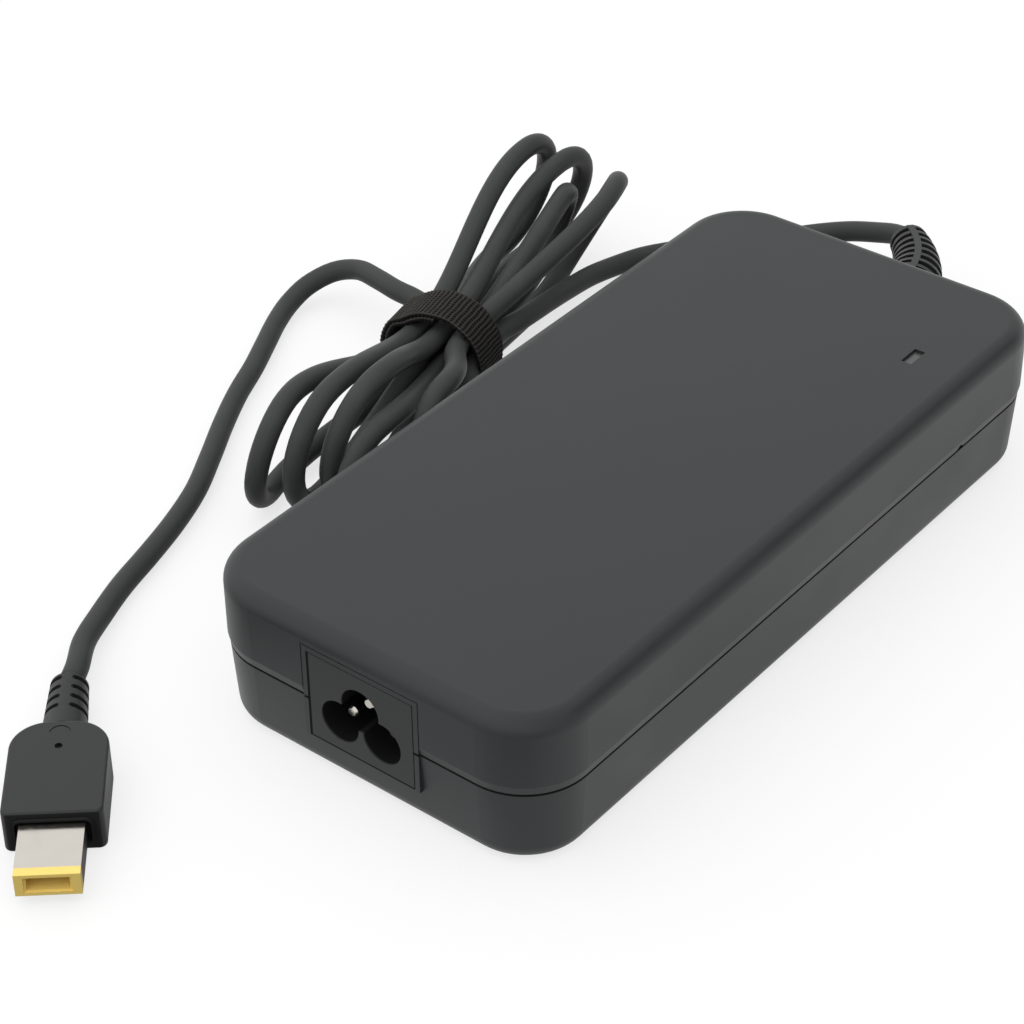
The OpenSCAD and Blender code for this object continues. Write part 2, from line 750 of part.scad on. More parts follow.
output_lead_route = concat(
    [sleeve_end, sleeve_end + cord_radius / 2 * sleeve_end_dir],
    [
        [-15, 110.2, 14.6], [-20.5, 111.3, 12.6], [-27, 111.6, 10.4], [-34, 110.2, 8], [-41.5, 106.8, 5.6],
        [-49, 103, 3.6], [-56, 98, 2.5], [-60.5, 92.5, 2.4], [-63.8, 87, 2.5], [-65.7, 80, 3],
        [-65.9, 71.5, 4.6], [-64.8, 62.5, 6.4], [-63.2, 52.5, 8.4], [-61.6, 42.5, 10.2]
    ],
    [hank_start + cord_diameter * waist_dir, hank_start]
);
connector_lead_route = concat(
    [hank_finish, hank_finish + cord_radius * finish_dir],
    [
        [-79.3, 32.2, 11.2], [-83, 33.4, 11.2], [-88.5, 34, 11], [-95.5, 36, 10.2], [-103, 38, 8.8],
        [-109, 36.8, 6.6], [-112.2, 32, 4.4], [-112.2, 26, 2.9], [-110, 19.5, 2.4], [-106, 11.5, 2.4],
        [-102, 3.5, 2.4], [-97.8, -6, 2.4], [-92.8, -15.5, 2.4], [-87, -25.5, 2.4], [-81.5, -35.5, 2.4],
        [-77.5, -45.5, 2.4], [-74.4, -55.5, 2.4], [-71.5, -66, 2.4], [-68, -75, 2.7], [-64.2, -82.8, 3.5]
    ],
    [boot_end + cord_diameter * boot_bend_dir, boot_end]
);

module output_lead() {
    color(cord_black)
        tube(output_lead_route, cord_radius, 8, [0, 0, 1]);
}

module connector_lead() {
    color(cord_black)
        tube(connector_lead_route, cord_radius, 8, [0, 0, 1]);
}

module strap_arc(start, angle, radius) {
    rotate([0, 0, start])
        rotate_extrude(angle = angle)
            translate([radius, -strap_width / 2])
                square([strap_thickness, strap_width]);
}

module cable_strap() {
    color("#232323")
        translate(waist)
            rotate([0, 0, waist_turn])
                rotate([90, 0, 0]) {
                    strap_arc(0, 360, strap_radius);
                    strap_arc(150, strap_overlap, strap_radius + strap_thickness);
                }
}

// Connector: drawn with its tip at the origin, pointing along -Y
module at_plug() {
    translate([plug_x, plug_y, plug_thickness / 2])
        rotate([0, 0, plug_turn])
            children();
}

module plug_plate(width, height, from, length) {
    translate([-width / 2, from, -height / 2])
        cube([width, length, height]);
}

housing_front = tip_length;
housing_rear = tip_length + plug_length;
pocket_depth = 1;
barrel_rear = housing_front + 3 * pocket_depth;

module plug_side_profile() {
    half = plug_thickness / 2;
    edge = plug_edge;
    intersection() {
        union() {
            for (side = [-1, 1])
                translate([-edge, side * (half - edge)])
                    circle(edge);
            translate([-edge, edge - half])
                square([edge, plug_thickness - 2 * edge]);
            translate([-edge - fit_gap, -half])
                square([fit_gap, plug_thickness]);
        }
        translate([-edge - fit_gap, -half])
            square([edge + fit_gap, plug_thickness]);
    }
}

module plug_block(front, rear, radius) {
    translate([0, (front + rear) / 2, 0])
        swept_block(plug_width, rear - front, radius, plug_edge + fit_gap, -plug_thickness / 2,
            plug_thickness / 2)
            plug_side_profile();
}

// A block with rounded corners that reaches out of the housing's front and into it
module plug_rim_block(width, height, radius, out, inward) {
    translate([0, housing_front + inward, 0])
        rotate([90, 0, 0])
            rounded_plate(width / 2, height / 2, radius, out + inward);
}

module connector_housing() {
    rim_line = 0.4;
    rim_rise = 0.7;
    rim_width = barrel_width + 2 * plug_rim;
    rim_height = barrel_height + 2 * rim_rise;
    mark_radius = 1.6;
    mark_line = 0.3;
    hole_radius = 0.7;
    color(black_rubber)
        at_plug()
            difference() {
                union() {
                    plug_block(housing_front, housing_rear - plug_shoulder, plug_corner);
                    plug_block(housing_front + plug_corner, housing_rear, plug_shoulder);
                    plug_rim_block(rim_width, rim_height, plug_rim_corner, rim_line, rim_line);
                }
                plug_rim_block(rim_width - 2 * rim_line, rim_height - 2 * rim_line,
                    plug_rim_corner - rim_line, 2 * rim_line, pocket_depth);
                plug_plate(barrel_width, barrel_height, housing_front, barrel_rear - housing_front);
                translate([0, housing_rear - 6.6, plug_thickness / 2])
                    cylinder(h = 2 * hole_radius, r = hole_radius, center = true);
                translate([0, housing_rear - 3.2, plug_thickness / 2 - mark_line / 2])
                    rotate([0, 0, 5])
                        rotate_extrude(angle = 170)
                            translate([mark_radius, 0])
                                square([mark_line, mark_line]);
            }
}

module connector_barrel() {
    color(steel)
        at_plug()
            difference() {
                plug_plate(barrel_width, barrel_height, insert_collar, barrel_rear - insert_collar);
                plug_plate(barrel_width - 2 * barrel_wall, barrel_height - 2 * barrel_wall, 0,
                    2 * barrel_rear);
            }
}

module connector_insert() {
    bevel = 0.4;
    color("#e8b93c")
        at_plug()
            difference() {
                union() {
                    plug_plate(barrel_width, barrel_height, 0, insert_collar);
                    plug_plate(barrel_width - 2 * barrel_wall, barrel_height - 2 * barrel_wall, 0,
                        barrel_rear);
                }
                plug_plate(mouth_width, mouth_height, -bevel, mouth_depth + bevel);
                plug_plate(mouth_width + 2 * bevel, mouth_height + bevel, -bevel, 2 * bevel);
                along_y([0, 0, 0], barrel_rear + bevel, plug_pin_diameter / 2, plug_pin_diameter / 2);
            }
}

module connector_pin() {
    tip = insert_collar + 1;
    color("#d8b25a")
        at_plug()
            along_y([0, tip, 0], barrel_rear - tip, plug_pin_diameter / 2, plug_pin_diameter / 2);
}

module connector_strain_relief() {
    pitch = (boot_length - 4 * boot_slot) / boot_slots;
    function boot_radius(share) = boot_root_radius + (boot_tip_radius - boot_root_radius) * share;
    color(black_rubber)
        at_plug()
            difference() {
                union() {
                    along_y([0, housing_rear, 0], boot_length - boot_slot, boot_root_radius,
                        boot_radius(1 - boot_slot / boot_length));
                    along_y([0, housing_rear + boot_length - boot_slot, 0], boot_slot,
                        boot_radius(1 - boot_slot / boot_length), boot_core_radius);
                }
                for (slot = [1:boot_slots])
                    for (side = [0, 180])
                        rotate([0, side, 0])
                            translate([(boot_spine + boot_slot) / 2,
                                housing_rear + boot_length - 2 * boot_slot + (slot - boot_slots) * pitch, 0])
                                difference() {
                                    union() {
                                        cylinder(h = 2 * boot_root_radius, r = boot_slot / 2, center = true);
                                        translate([0, -boot_slot / 2, -boot_root_radius])
                                            cube([boot_root_radius, boot_slot, 2 * boot_root_radius]);
                                    }
                                    translate([-(boot_spine + boot_slot) / 2, -boot_slot, 0])
                                        rotate([-90, 0, 0])
                                            cylinder(h = 2 * boot_slot, r = boot_core_radius);
                                }
            }
}

// Circuit board and what carries and covers it
board_half_width = half_width + lower_side(board_bottom) - wall - board_side_gap;
board_half_length = half_length - wall - board_end_gap;
shield_top = ceiling - shield_gap;
shield_bottom = shield_top - shield_thickness;

// Room for the tall parts: four bays one behind the other, between the inlet and the output wires
wire_run = board_end_gap + wire_diameter;
bays_start = from_mains(inlet_depth + pin_diameter + 2 * fit_gap + part_gap);
bays_end = inner_end - wire_run - wire_diameter / 2 - part_gap;
bays_run = bays_end - bays_start;
filter_end = bays_start + filter_share * bays_run;
boost_end = filter_end + boost_share * bays_run;
transformer_end = boost_end + transformer_share * bays_run;
filter_bay = [bays_start, filter_end - part_gap];
boost_bay = [filter_end, boost_end - part_gap];
transformer_bay = [boost_end, transformer_end - part_gap];
output_bay = [transformer_end, bays_end];
function bay_run(bay) = bay[1] - bay[0];
function bay_place(bay, share) = bay[0] + bay_run(bay) * share;
board_width = 2 * board_half_width;
board_edge = board_half_width - part_gap;
tall = shield_bottom - board_top - head_room;

module rounded_plate(half_x, half_y, radius, thickness) {
    linear_extrude(thickness) {
        square([2 * (half_x - radius), 2 * half_y], center = true);
        square([2 * half_x, 2 * (half_y - radius)], center = true);
        for (x = [-1, 1])
            for (y = [-1, 1])
                translate([x * (half_x - radius), y * (half_y - radius)])
                    circle(radius);
    }
}

module circuit_board() {
    color("#2f6b3f")
        translate([0, 0, board_bottom])
            rounded_plate(board_half_width, board_half_length, board_corner, board_thickness);
}

module insulation_sheet() {
    color("#d9d6c8")
        difference() {
            translate([0, 0, wall])
                rounded_plate(board_half_width - board_side_gap, board_half_length - board_side_gap,
                    board_corner, sheet_thickness);
            for (place = post_places)
                translate([place[0], place[1], 0])
                    cylinder(h = board_top, r = post_radius + fit_gap);
        }
}

module upper_shield() {
    shield_length = body_length - shield_from_mains - shield_from_output;
    middle = (shield_from_mains - shield_from_output) / 2;
    color("#b9bcbe")
        difference() {
            translate([0, middle, shield_bottom])
                rounded_plate(board_half_width, shield_length / 2, board_corner / 2, shield_thickness);
            translate([window_x, window_y, shield_bottom])
                cube([2 * window_width + 4 * fit_gap, window_length + 6 * fit_gap, 4 * shield_thickness],
                    center = true);
        }
}

// Building blocks of the parts on the board
module leads(places, top) {
    for (place = places)
        translate([place[0], place[1], board_top])
            cylinder(h = top - board_top, d = lead_diameter);
}

module leaded_box(x, y, width, length, height) {
    translate([x - width / 2, y - length / 2, board_top + standoff])
        cube([width, length, height]);
    leads([for (side = [-1, 1]) [x + side * width / 4, y]], board_top + standoff);
}

module leaded_disc(x, y, radius, thickness) {
    centre_z = board_top + standoff + radius;
    along_y([x, y - thickness / 2, centre_z], thickness, radius, radius);
    leads([for (side = [-1, 1]) [x + side * radius / 3, y]], centre_z);
}

// The parts beside the inlet stand half way between it and the board's edge
beside_inlet = (opening_width / 2 + inlet_flange + board_half_width) / 2;
fuse_x = beside_inlet;
fuse_y = from_mains(inlet_depth - part_gap) - fuse_length / 2;

module fuse() {
    centre_z = board_top + standoff + fuse_radius;
    color("#e6e0cf") {
        along_y([fuse_x, fuse_y - fuse_length / 2, centre_z], fuse_length, fuse_radius, fuse_radius);
        leads([for (end = [-1, 1]) [fuse_x, fuse_y + end * fuse_length / 3]], centre_z);
    }
}

module varistor() {
    color("#2d5fa8")
        leaded_disc(beside_inlet, bays_start + varistor_thickness / 2, varistor_radius,
            varistor_thickness);
}

module thermistor() {
    color("#3a4a3c")
        leaded_disc(-beside_inlet, fuse_y, thermistor_radius, thermistor_thickness);
}

module x_capacitor() {
    x_capacitor_width = x_capacitor_share * board_width;
    color("#c9a227")
        leaded_box(x_capacitor_width / 2 - board_edge, bay_place(filter_bay, 0.5), x_capacitor_width,
            bay_run(filter_bay), tall - standoff);
}

choke_place = [0, bay_place(filter_bay, 0.5), board_top + standoff + choke_wire];
choke_radius = choke_share * board_half_width - choke_wire;

module choke_section(grow) {
    translate([choke_bore - grow, -grow])
        square([choke_radius - choke_bore + 2 * grow, choke_height + 2 * grow]);
}

module choke_core() {
    color("#4a4f52") {
        translate(choke_place)
            rotate_extrude()
                choke_section(0);
        for (side = [-1, 1])
            translate([choke_place[0], choke_place[1] + side * (choke_radius + choke_bore) / 2, board_top])
                cylinder(h = standoff + 2 * choke_wire, d = 2 * lead_diameter);
    }
}

module choke_windings() {
    sweep = 130;
    color(copper)
        translate(choke_place)
            for (start = [-sweep / 2, 180 - sweep / 2])
                rotate([0, 0, start])
                    rotate_extrude(angle = sweep)
                        difference() {
                            choke_section(choke_wire);
                            choke_section(0);
                        }
}

module bridge_rectifier() {
    bridge_width = bridge_share * board_width;
    bridge_x = board_edge - bridge_width / 2;
    bridge_y = bay_place(filter_bay, 0.6);
    bottom = board_top + 3 * standoff;
    color("#1f2123")
        translate([bridge_x, bridge_y, bottom])
            standing_box(bridge_width, bridge_thickness, tall - 3 * standoff);
    color(steel)
        leads([for (i = [-1.5:1.5]) [bridge_x + i * bridge_width / 4.5, bridge_y]], bottom);
}

// Share of the boost bay that the boost choke takes; a control chip stands in the rest
boost_choke_part = 0.62;

module boost_choke() {
    boost_choke_width = boost_choke_share * board_width;
    color("#6a4a2e")
        leaded_box(boost_choke_width / 2 - board_edge, bay_place(boost_bay, boost_choke_part / 2),
            boost_choke_width, boost_choke_part * bay_run(boost_bay), tall - standoff);
}

module bulk_capacitor() {
    bulk_radius = (tall - fit_gap) / 2;
    bulk_x = board_width / 11;
    centre_z = board_top + fit_gap + bulk_radius;
    tail_y = boost_bay[0];
    color("#20283a")
        along_y([bulk_x, tail_y + standoff, centre_z], bay_run(boost_bay) - standoff, bulk_radius,
            bulk_radius);
    color(steel)
        for (side = [-1, 1]) {
            along_y([bulk_x + side * bulk_radius / 3, tail_y, centre_z], standoff, lead_diameter / 2,
                lead_diameter / 2);
            translate([bulk_x + side * bulk_radius / 3, tail_y, board_top])
                cylinder(h = centre_z + lead_diameter / 2 - board_top, d = lead_diameter);
        }
}

// Heat sinks with their semiconductors: side -1 or 1 gives the long wall that they stand along
sink_x = board_half_width - part_gap / 2;
chip_bottom = board_top + 3 * standoff;
chip_height = tall - 3 * standoff;
hole_height = chip_bottom + chip_height - chip_width / 3;
primary_sink_y = bay_place(boost_bay, 0.5);
output_sink_y = output_bay[1] - sink_length / 2;

function chip_places(sink_y) = [sink_y - sink_length / 4, sink_y + sink_length / 4];

module heat_sink(side, sink_y) {
    color("#b4b7ba")
        difference() {
            translate([side > 0 ? sink_x - sink_thickness : -sink_x, sink_y - sink_length / 2, board_top])
                cube([sink_thickness, sink_length, shield_bottom - board_top]);
            for (place = chip_places(sink_y))
                translate([side * sink_x, place, hole_height])
                    rotate([0, 90, 0])
                        cylinder(h = 3 * sink_thickness, d = screw_diameter, center = true);
        }
}

module power_chips(side, sink_y) {
    face = sink_x - sink_thickness;
    body_height_up = chip_height - chip_width / 1.5;
    color("#25272a")
        for (place = chip_places(sink_y)) {
            difference() {
                translate([side > 0 ? face - tab_thickness : -face, place - chip_width / 2, chip_bottom])
                    cube([tab_thickness, chip_width, chip_height]);
                translate([side * face, place, hole_height])
                    rotate([0, 90, 0])
                        cylinder(h = 3 * tab_thickness, d = screw_diameter, center = true);
            }
            translate([side > 0 ? face - chip_thickness : -face, place - chip_width / 2, chip_bottom])
                cube([chip_thickness, chip_width, body_height_up]);
            leads([for (i = [-1:1]) [side * (face - chip_thickness / 2), place + i * chip_width / 4]],
                chip_bottom);
        }
}

module chip_screws(side, sink_y) {
    face = sink_x - sink_thickness - tab_thickness;
    color(steel)
        for (place = chip_places(sink_y))
            translate([side * face, place, hole_height])
                rotate([0, side * 90, 0]) {
                    cylinder(h = tab_thickness + sink_thickness, d = screw_diameter);
                    translate([0, 0, -screw_head])
                        cylinder(h = screw_head, d = 1.8 * screw_diameter);
                }
}

// Transformer: the core lies flat, its middle leg along Y
core_width = core_share * board_width;
core_length = bay_run(transformer_bay);
bobbin_inner_width = core_middle + 2 * fit_gap;
bobbin_outer_width = bobbin_inner_width + 2 * bobbin_wall;
winding_width = bobbin_outer_width + 2 * winding_build;
winding_height = tall;
bobbin_outer_height = winding_height - 2 * winding_build;
bobbin_inner_height = bobbin_outer_height - 2 * bobbin_wall;
core_thickness = bobbin_inner_height - 2 * fit_gap;
bobbin_centre = [0, bay_place(transformer_bay, 0.5), board_top + winding_height / 2];
window_run = core_length - 2 * core_leg;
bobbin_length = window_run - 2 * fit_gap;
winding_length = bobbin_length - 2 * bobbin_wall;

module bobbin_box(width, length, height) {
    translate(bobbin_centre)
        cube([width, length, height], center = true);
}

module transformer_core() {
    color("#3b3a39")
        translate([0, 0, -fit_gap])
            difference() {
                bobbin_box(core_width, core_length, core_thickness);
                difference() {
                    bobbin_box(core_width - 2 * core_leg, window_run, 2 * core_thickness);
                    bobbin_box(core_middle, window_run, 2 * core_thickness);
                }
            }
}

module transformer_bobbin() {
    color("#d7d2c4")
        difference() {
            union() {
                bobbin_box(bobbin_outer_width, bobbin_length, bobbin_outer_height);
                for (end = [-1, 1])
                    translate([0, end * (bobbin_length - bobbin_wall) / 2, 0])
                        bobbin_box(winding_width, bobbin_wall, winding_height);
            }
            bobbin_box(bobbin_inner_width, 2 * bobbin_length, bobbin_inner_height);
        }
}

module transformer_winding() {
    color("#c98f3b")
        difference() {
            bobbin_box(winding_width, winding_length, winding_height);
            bobbin_box(bobbin_outer_width, 2 * winding_length, bobbin_outer_height);
        }
}

first_row = output_bay[0] + output_capacitor_radius;

module output_capacitors() {
    pitch = 2 * output_capacitor_radius + part_gap / 2;
    middle = -board_width / 22;
    color("#2a3550")
        for (place = [[-1, 0], [0, 0], [1, 0], [-1, 1]])
            translate([middle + place[0] * pitch, first_row + place[1] * pitch, board_top])
                cylinder(h = tall, r = output_capacitor_radius);
}

module output_choke() {
    output_choke_y = first_row + output_capacitor_radius + part_gap + output_choke_radius;
    color("#7a5a33")
        translate([board_width / 8, output_choke_y, board_top])
            difference() {
                cylinder(h = output_choke_height, r = output_choke_radius);
                translate([0, 0, standoff])
                    cylinder(h = output_choke_height, r = output_choke_bore);
            }
}

module y_capacitors() {
    color("#3f6ea5")
        for (share = [0.25, 0.75])
            leaded_disc(board_edge - part_gap - y_capacitor_radius, bay_place(transformer_bay, share),
                y_capacitor_radius, y_capacitor_thickness);
}

module optocoupler() {
    color("#1c1c1d")
        leaded_box(optocoupler_width / 2 - board_edge, bay_place(transformer_bay, 0.25), optocoupler_width,
            optocoupler_length, optocoupler_height);
}

module control_chips() {
    color("#1a1b1c")
        for (place = [
            [control_chip_width / 2 - board_edge, bay_place(boost_bay, 0.85)],
            [board_width / 3.2, bay_place(filter_bay, 0.88)]
        ])
            translate([place[0], place[1], board_top])
                standing_box(control_chip_width, control_chip_length, control_chip_height);
}

module status_lamp() {
    color("#e8efe9")
        translate([window_x, window_y, board_top])
            cylinder(h = lamp_height, r = lamp_radius);
}

module output_wires() {
    wire_radius = wire_diameter / 2;
    color("#8c1f1f")
        for (side = [-1, 1])
            translate([exit_x + side * wire_diameter * 0.6, 0, 0]) {
                along_y([0, inner_end - wire_run, exit_z], wire_run, wire_radius, wire_radius);
                translate([0, inner_end - wire_run, exit_z])
                    sphere(wire_radius);
                translate([0, inner_end - wire_run, board_top])
                    cylinder(h = exit_z - board_top, r = wire_radius);
            }
}

top_cover();
bottom_cover();
inlet_housing();
contact_pin(pin_places[0], live_pin_setback);  // line_pin
contact_pin(pin_places[1], live_pin_setback);  // neutral_pin
contact_pin(pin_places[2], earth_pin_setback);  // earth_pin
light_pipe();
output_strain_relief();
output_lead();
cord_hank();
connector_lead();
cable_strap();
connector_strain_relief();
connector_housing();
connector_barrel();
connector_insert();
connector_pin();
circuit_board();
insulation_sheet();
upper_shield();
fuse();
varistor();
thermistor();
x_capacitor();
y_capacitors();
choke_core();
choke_windings();
bridge_rectifier();
boost_choke();
bulk_capacitor();
heat_sink(1, primary_sink_y);  // primary_heat_sink
power_chips(1, primary_sink_y);  // power_transistors
chip_screws(1, primary_sink_y);  // primary_screws
transformer_core();
transformer_bobbin();
transformer_winding();
heat_sink(-1, output_sink_y);  // secondary_heat_sink
power_chips(-1, output_sink_y);  // output_rectifiers
chip_screws(-1, output_sink_y);  // secondary_screws
output_capacitors();
output_choke();
optocoupler();
control_chips();
status_lamp();
output_wires();
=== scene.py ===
# %% [markdown]
# # A laptop power adapter, dressed around its CAD model
# The CAD model gives every rigid part its shape and place. This lesson adds what CAD leaves
# out: the light, the cord as one smooth curve, the woven strap, and a finish for every part.

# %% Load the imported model
import json
import math

import bpy
import numpy as np
from mathutils import Matrix, Vector


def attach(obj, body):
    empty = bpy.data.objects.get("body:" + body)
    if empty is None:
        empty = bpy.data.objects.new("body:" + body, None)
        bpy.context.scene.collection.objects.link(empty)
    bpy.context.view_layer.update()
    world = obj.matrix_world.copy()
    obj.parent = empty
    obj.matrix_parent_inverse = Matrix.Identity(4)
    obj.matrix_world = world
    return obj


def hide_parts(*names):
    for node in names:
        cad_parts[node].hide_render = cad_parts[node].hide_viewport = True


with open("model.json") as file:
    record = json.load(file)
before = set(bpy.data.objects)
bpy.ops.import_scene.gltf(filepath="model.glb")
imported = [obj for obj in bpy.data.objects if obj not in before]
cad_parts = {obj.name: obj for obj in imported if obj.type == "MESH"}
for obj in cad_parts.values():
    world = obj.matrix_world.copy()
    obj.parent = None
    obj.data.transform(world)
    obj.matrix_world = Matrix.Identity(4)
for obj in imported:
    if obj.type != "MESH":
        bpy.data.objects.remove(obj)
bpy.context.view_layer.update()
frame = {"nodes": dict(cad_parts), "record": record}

MM = 0.001
nodes = frame["nodes"]

# %% [markdown]
# ## Camera
# A product view from above the mains end's right corner. A long lens keeps the brick's edges
# nearly parallel. The lens's middle lies off the picture's middle, as when a picture is cropped,
# so the camera uses shift instead of turning, which would change the perspective.

# %% Camera
PICTURE_SIDE = 1024
lens_in_pixels = 2820.41
lens_middle = (406, 457)
camera_place = Vector((243.72, -342.76, 322.28)) * MM
azimuth, elevation, roll = (math.radians(a) for a in (41.35, 35.17, -2.30))
level_right = Vector((math.cos(azimuth), math.sin(azimuth), 0))
backward = Vector((
    math.sin(azimuth) * math.cos(elevation),
    -math.cos(azimuth) * math.cos(elevation),
    math.sin(elevation),
))
level_up = backward.cross(level_right)
camera_right = math.cos(roll) * level_right + math.sin(roll) * level_up
camera_up = math.cos(roll) * level_up - math.sin(roll) * level_right

camera = bpy.data.objects.new("camera", bpy.data.cameras.new("camera"))
camera.data.sensor_width = 36
camera.data.lens = camera.data.sensor_width * lens_in_pixels / PICTURE_SIDE
camera.data.shift_x = (PICTURE_SIDE / 2 - lens_middle[0]) / PICTURE_SIDE
camera.data.shift_y = (lens_middle[1] - PICTURE_SIDE / 2) / PICTURE_SIDE
camera.data.clip_start = 0.01
camera.data.clip_end = 50
turned = Matrix((camera_right, camera_up, backward)).transposed()
camera.matrix_world = Matrix.Translation(camera_place) @ turned.to_4x4()
bpy.context.scene.collection.objects.link(camera)
bpy.context.scene.camera = camera
bpy.context.scene.view_settings.view_transform = "Standard"
print("lens", round(camera.data.lens, 1), "mm")

# %% [markdown]
# ## The cord's route
# The cord leaves the strain relief at the output end, runs beside the brick, goes round five
# times in a hank that a strap holds at its waist, and runs on to the connector. A hank could be
# drawn point by point, but its loops follow a rule: each strand keeps its own place in the
# waist, and each end loop is half a circle that stands on edge and leans a little. So two short
# tables and a formula give all of it.

# %% Places of the strands in the waist, and the end loops
cord_diameter = 4.4
table_gap = 0.1
waist = np.array([-66.3, 22.5, 11.2])
waist_turn = math.radians(12)
waist_dir = np.array([-math.sin(waist_turn), math.cos(waist_turn), 0])
waist_side = np.array([math.cos(waist_turn), math.sin(waist_turn), 0])
strand_pitch = 5.0
row_pitch = strand_pitch * math.sin(math.radians(60))
strand_tail = 5.5

# Slots in the waist, in pitches and rows: under, towards the mains end; over, back again
under_slots = [(1.5, 0), (1, -1), (0, -1), (-0.5, 0), (-1, -1)]
over_slots = [(1, 1), (0.5, 0), (0, 1), (-1, 1), (-1.5, 0)]
# End loops: x and y from the waist, turn, lean, radius
mains_folds = [
    (22.8, -25.1, -8.6, -9.8, 11), (17.9, -41.4, -4, 6.4, 10.4), (11.6, -35.8, -5.7, 8.4, 13.4),
    (5.9, -42.4, -10.8, 6.6, 12.3), (-2.1, -47.1, -18.1, 11, 10.9),
]
output_folds = [
    (-1.4, 48.7, 19.6, 27.5, 13.4), (-9.1, 45.9, 19.3, 17.7, 10.4), (-16.2, 56.3, 2.1, 14.6, 11.5),
    (-21.7, 49.9, 6.1, 13.3, 13.4),
]


def strand(slot, along):
    """A point on the strand in this slot, so far along the waist."""
    return (waist + slot[0] * strand_pitch * waist_side + [0, 0, slot[1] * row_pitch]
            + along * waist_dir)


print("strands in the waist:", len(under_slots) + len(over_slots))


# %% One end loop
def fold_dir(fold, end):
    """Which way the loop reaches out; end is -1 at the mains end and 1 at the output end."""
    turn = math.radians(fold[2])
    return np.array([-math.sin(turn), end * math.cos(turn), 0])


def fold_point(fold, end, angle):
    """A point of an end loop: angle -90 is its lower end, 90 its upper end."""
    x, y, turn, lean, radius = fold
    turn, lean, angle = math.radians(turn), math.radians(lean), math.radians(angle)
    up = math.sin(lean) * np.array([math.cos(turn), end * math.sin(turn), 0])
    up = up + [0, 0, math.cos(lean)]
    middle = np.array([
        waist[0] + x, waist[1] + y, cord_diameter / 2 + table_gap + radius * math.cos(lean)])
    return middle + radius * (math.cos(angle) * fold_dir(fold, end) + math.sin(angle) * up)


print("tightest end loop:", min(fold[4] for fold in mains_folds + output_folds), "mm in radius")


# %% The runs that join an end loop to the waist
def run(start, start_dir, stop, stop_dir, share):
    """A point of a smooth run that leaves and arrives in the given directions."""
    reach, s2, s3 = np.linalg.norm(stop - start), share ** 2, share ** 3
    return ((2 * s3 - 3 * s2 + 1) * start + (s3 - 2 * s2 + share) * reach * start_dir
            + (3 * s2 - 2 * s3) * stop + (s3 - s2) * reach * stop_dir)


def half_loop(start, start_dir, fold, end, first, stop, stop_dir, run_steps, fold_steps):
    """From the waist out to an end loop, round it, and back to the waist."""
    out = fold_dir(fold, end)
    fold_from, fold_to = fold_point(fold, end, first), fold_point(fold, end, -first)
    return (
        [run(start, start_dir, fold_from, out, i / run_steps) for i in range(run_steps)]
        + [fold_point(fold, end, first - 2 * first * i / fold_steps) for i in range(fold_steps)]
        + [run(fold_to, -out, stop, stop_dir, i / run_steps) for i in range(run_steps)]
    )


# %% The whole hank
last_bend = math.radians(14)
hank_start = strand(under_slots[0], strand_tail)
last_turn = waist_turn + last_bend
last_dir = np.array([-math.sin(last_turn), math.cos(last_turn), 0])
hank_end = strand(over_slots[-1], 0) + strand_tail * last_dir


def hank_route(run_steps, fold_steps):
    """Points all the way round, from where the cord enters the waist to where it leaves."""
    route = [hank_start]
    for k, mains_fold in enumerate(mains_folds):
        route += half_loop(strand(under_slots[k], 0), -waist_dir, mains_fold, -1, -90,
                           strand(over_slots[k], 0), waist_dir, run_steps, fold_steps)
        if k < len(output_folds):
            route += half_loop(strand(over_slots[k], 0), waist_dir, output_folds[k], 1, 90,
                               strand(under_slots[k + 1], 0), -waist_dir, run_steps, fold_steps)
    return route + [strand(over_slots[-1], 0), hank_end]


hank_line = np.array(hank_route(run_steps=14, fold_steps=18))
print("points in the hank:", len(hank_line))

# %% [markdown]
# The two free stretches are listed, a point every centimetre or so, and rounded off
# with a curve that passes through every point. The one at the output end sinks from the strain
# relief to the table and climbs into the waist; the other comes out of the waist, bows over and
# lies on the table up to the connector.

# %% Where the sleeves end
sleeve_root = (1.5, 82, 15.5)
sleeve_bend, sleeve_bend_radius = math.radians(50), 34
sleeve_bend_middle = np.array([sleeve_root[0] - sleeve_bend_radius, *sleeve_root[1:]])
sleeve_end = sleeve_bend_middle + sleeve_bend_radius * np.array(
    [math.cos(sleeve_bend), math.sin(sleeve_bend), 0])
sleeve_dir = np.array([-math.sin(sleeve_bend), math.cos(sleeve_bend), 0])

plug_tip, plug_turn = np.array([-23.3, -131.4, 4.25]), math.radians(41.5)
barrel_reach, housing_length, boot_length = 12.6, 23.4, 15
boot_bend = math.radians(12)
plug_back = np.array([-math.sin(plug_turn), math.cos(plug_turn), 0])
boot_end = plug_tip + (barrel_reach + housing_length + boot_length) * plug_back
boot_end_turn = plug_turn - boot_bend
boot_end_dir = np.array([-math.sin(boot_end_turn), math.cos(boot_end_turn), 0])
print("sleeve ends at", np.round(sleeve_end, 1), "and boot at", np.round(boot_end, 1), "mm")

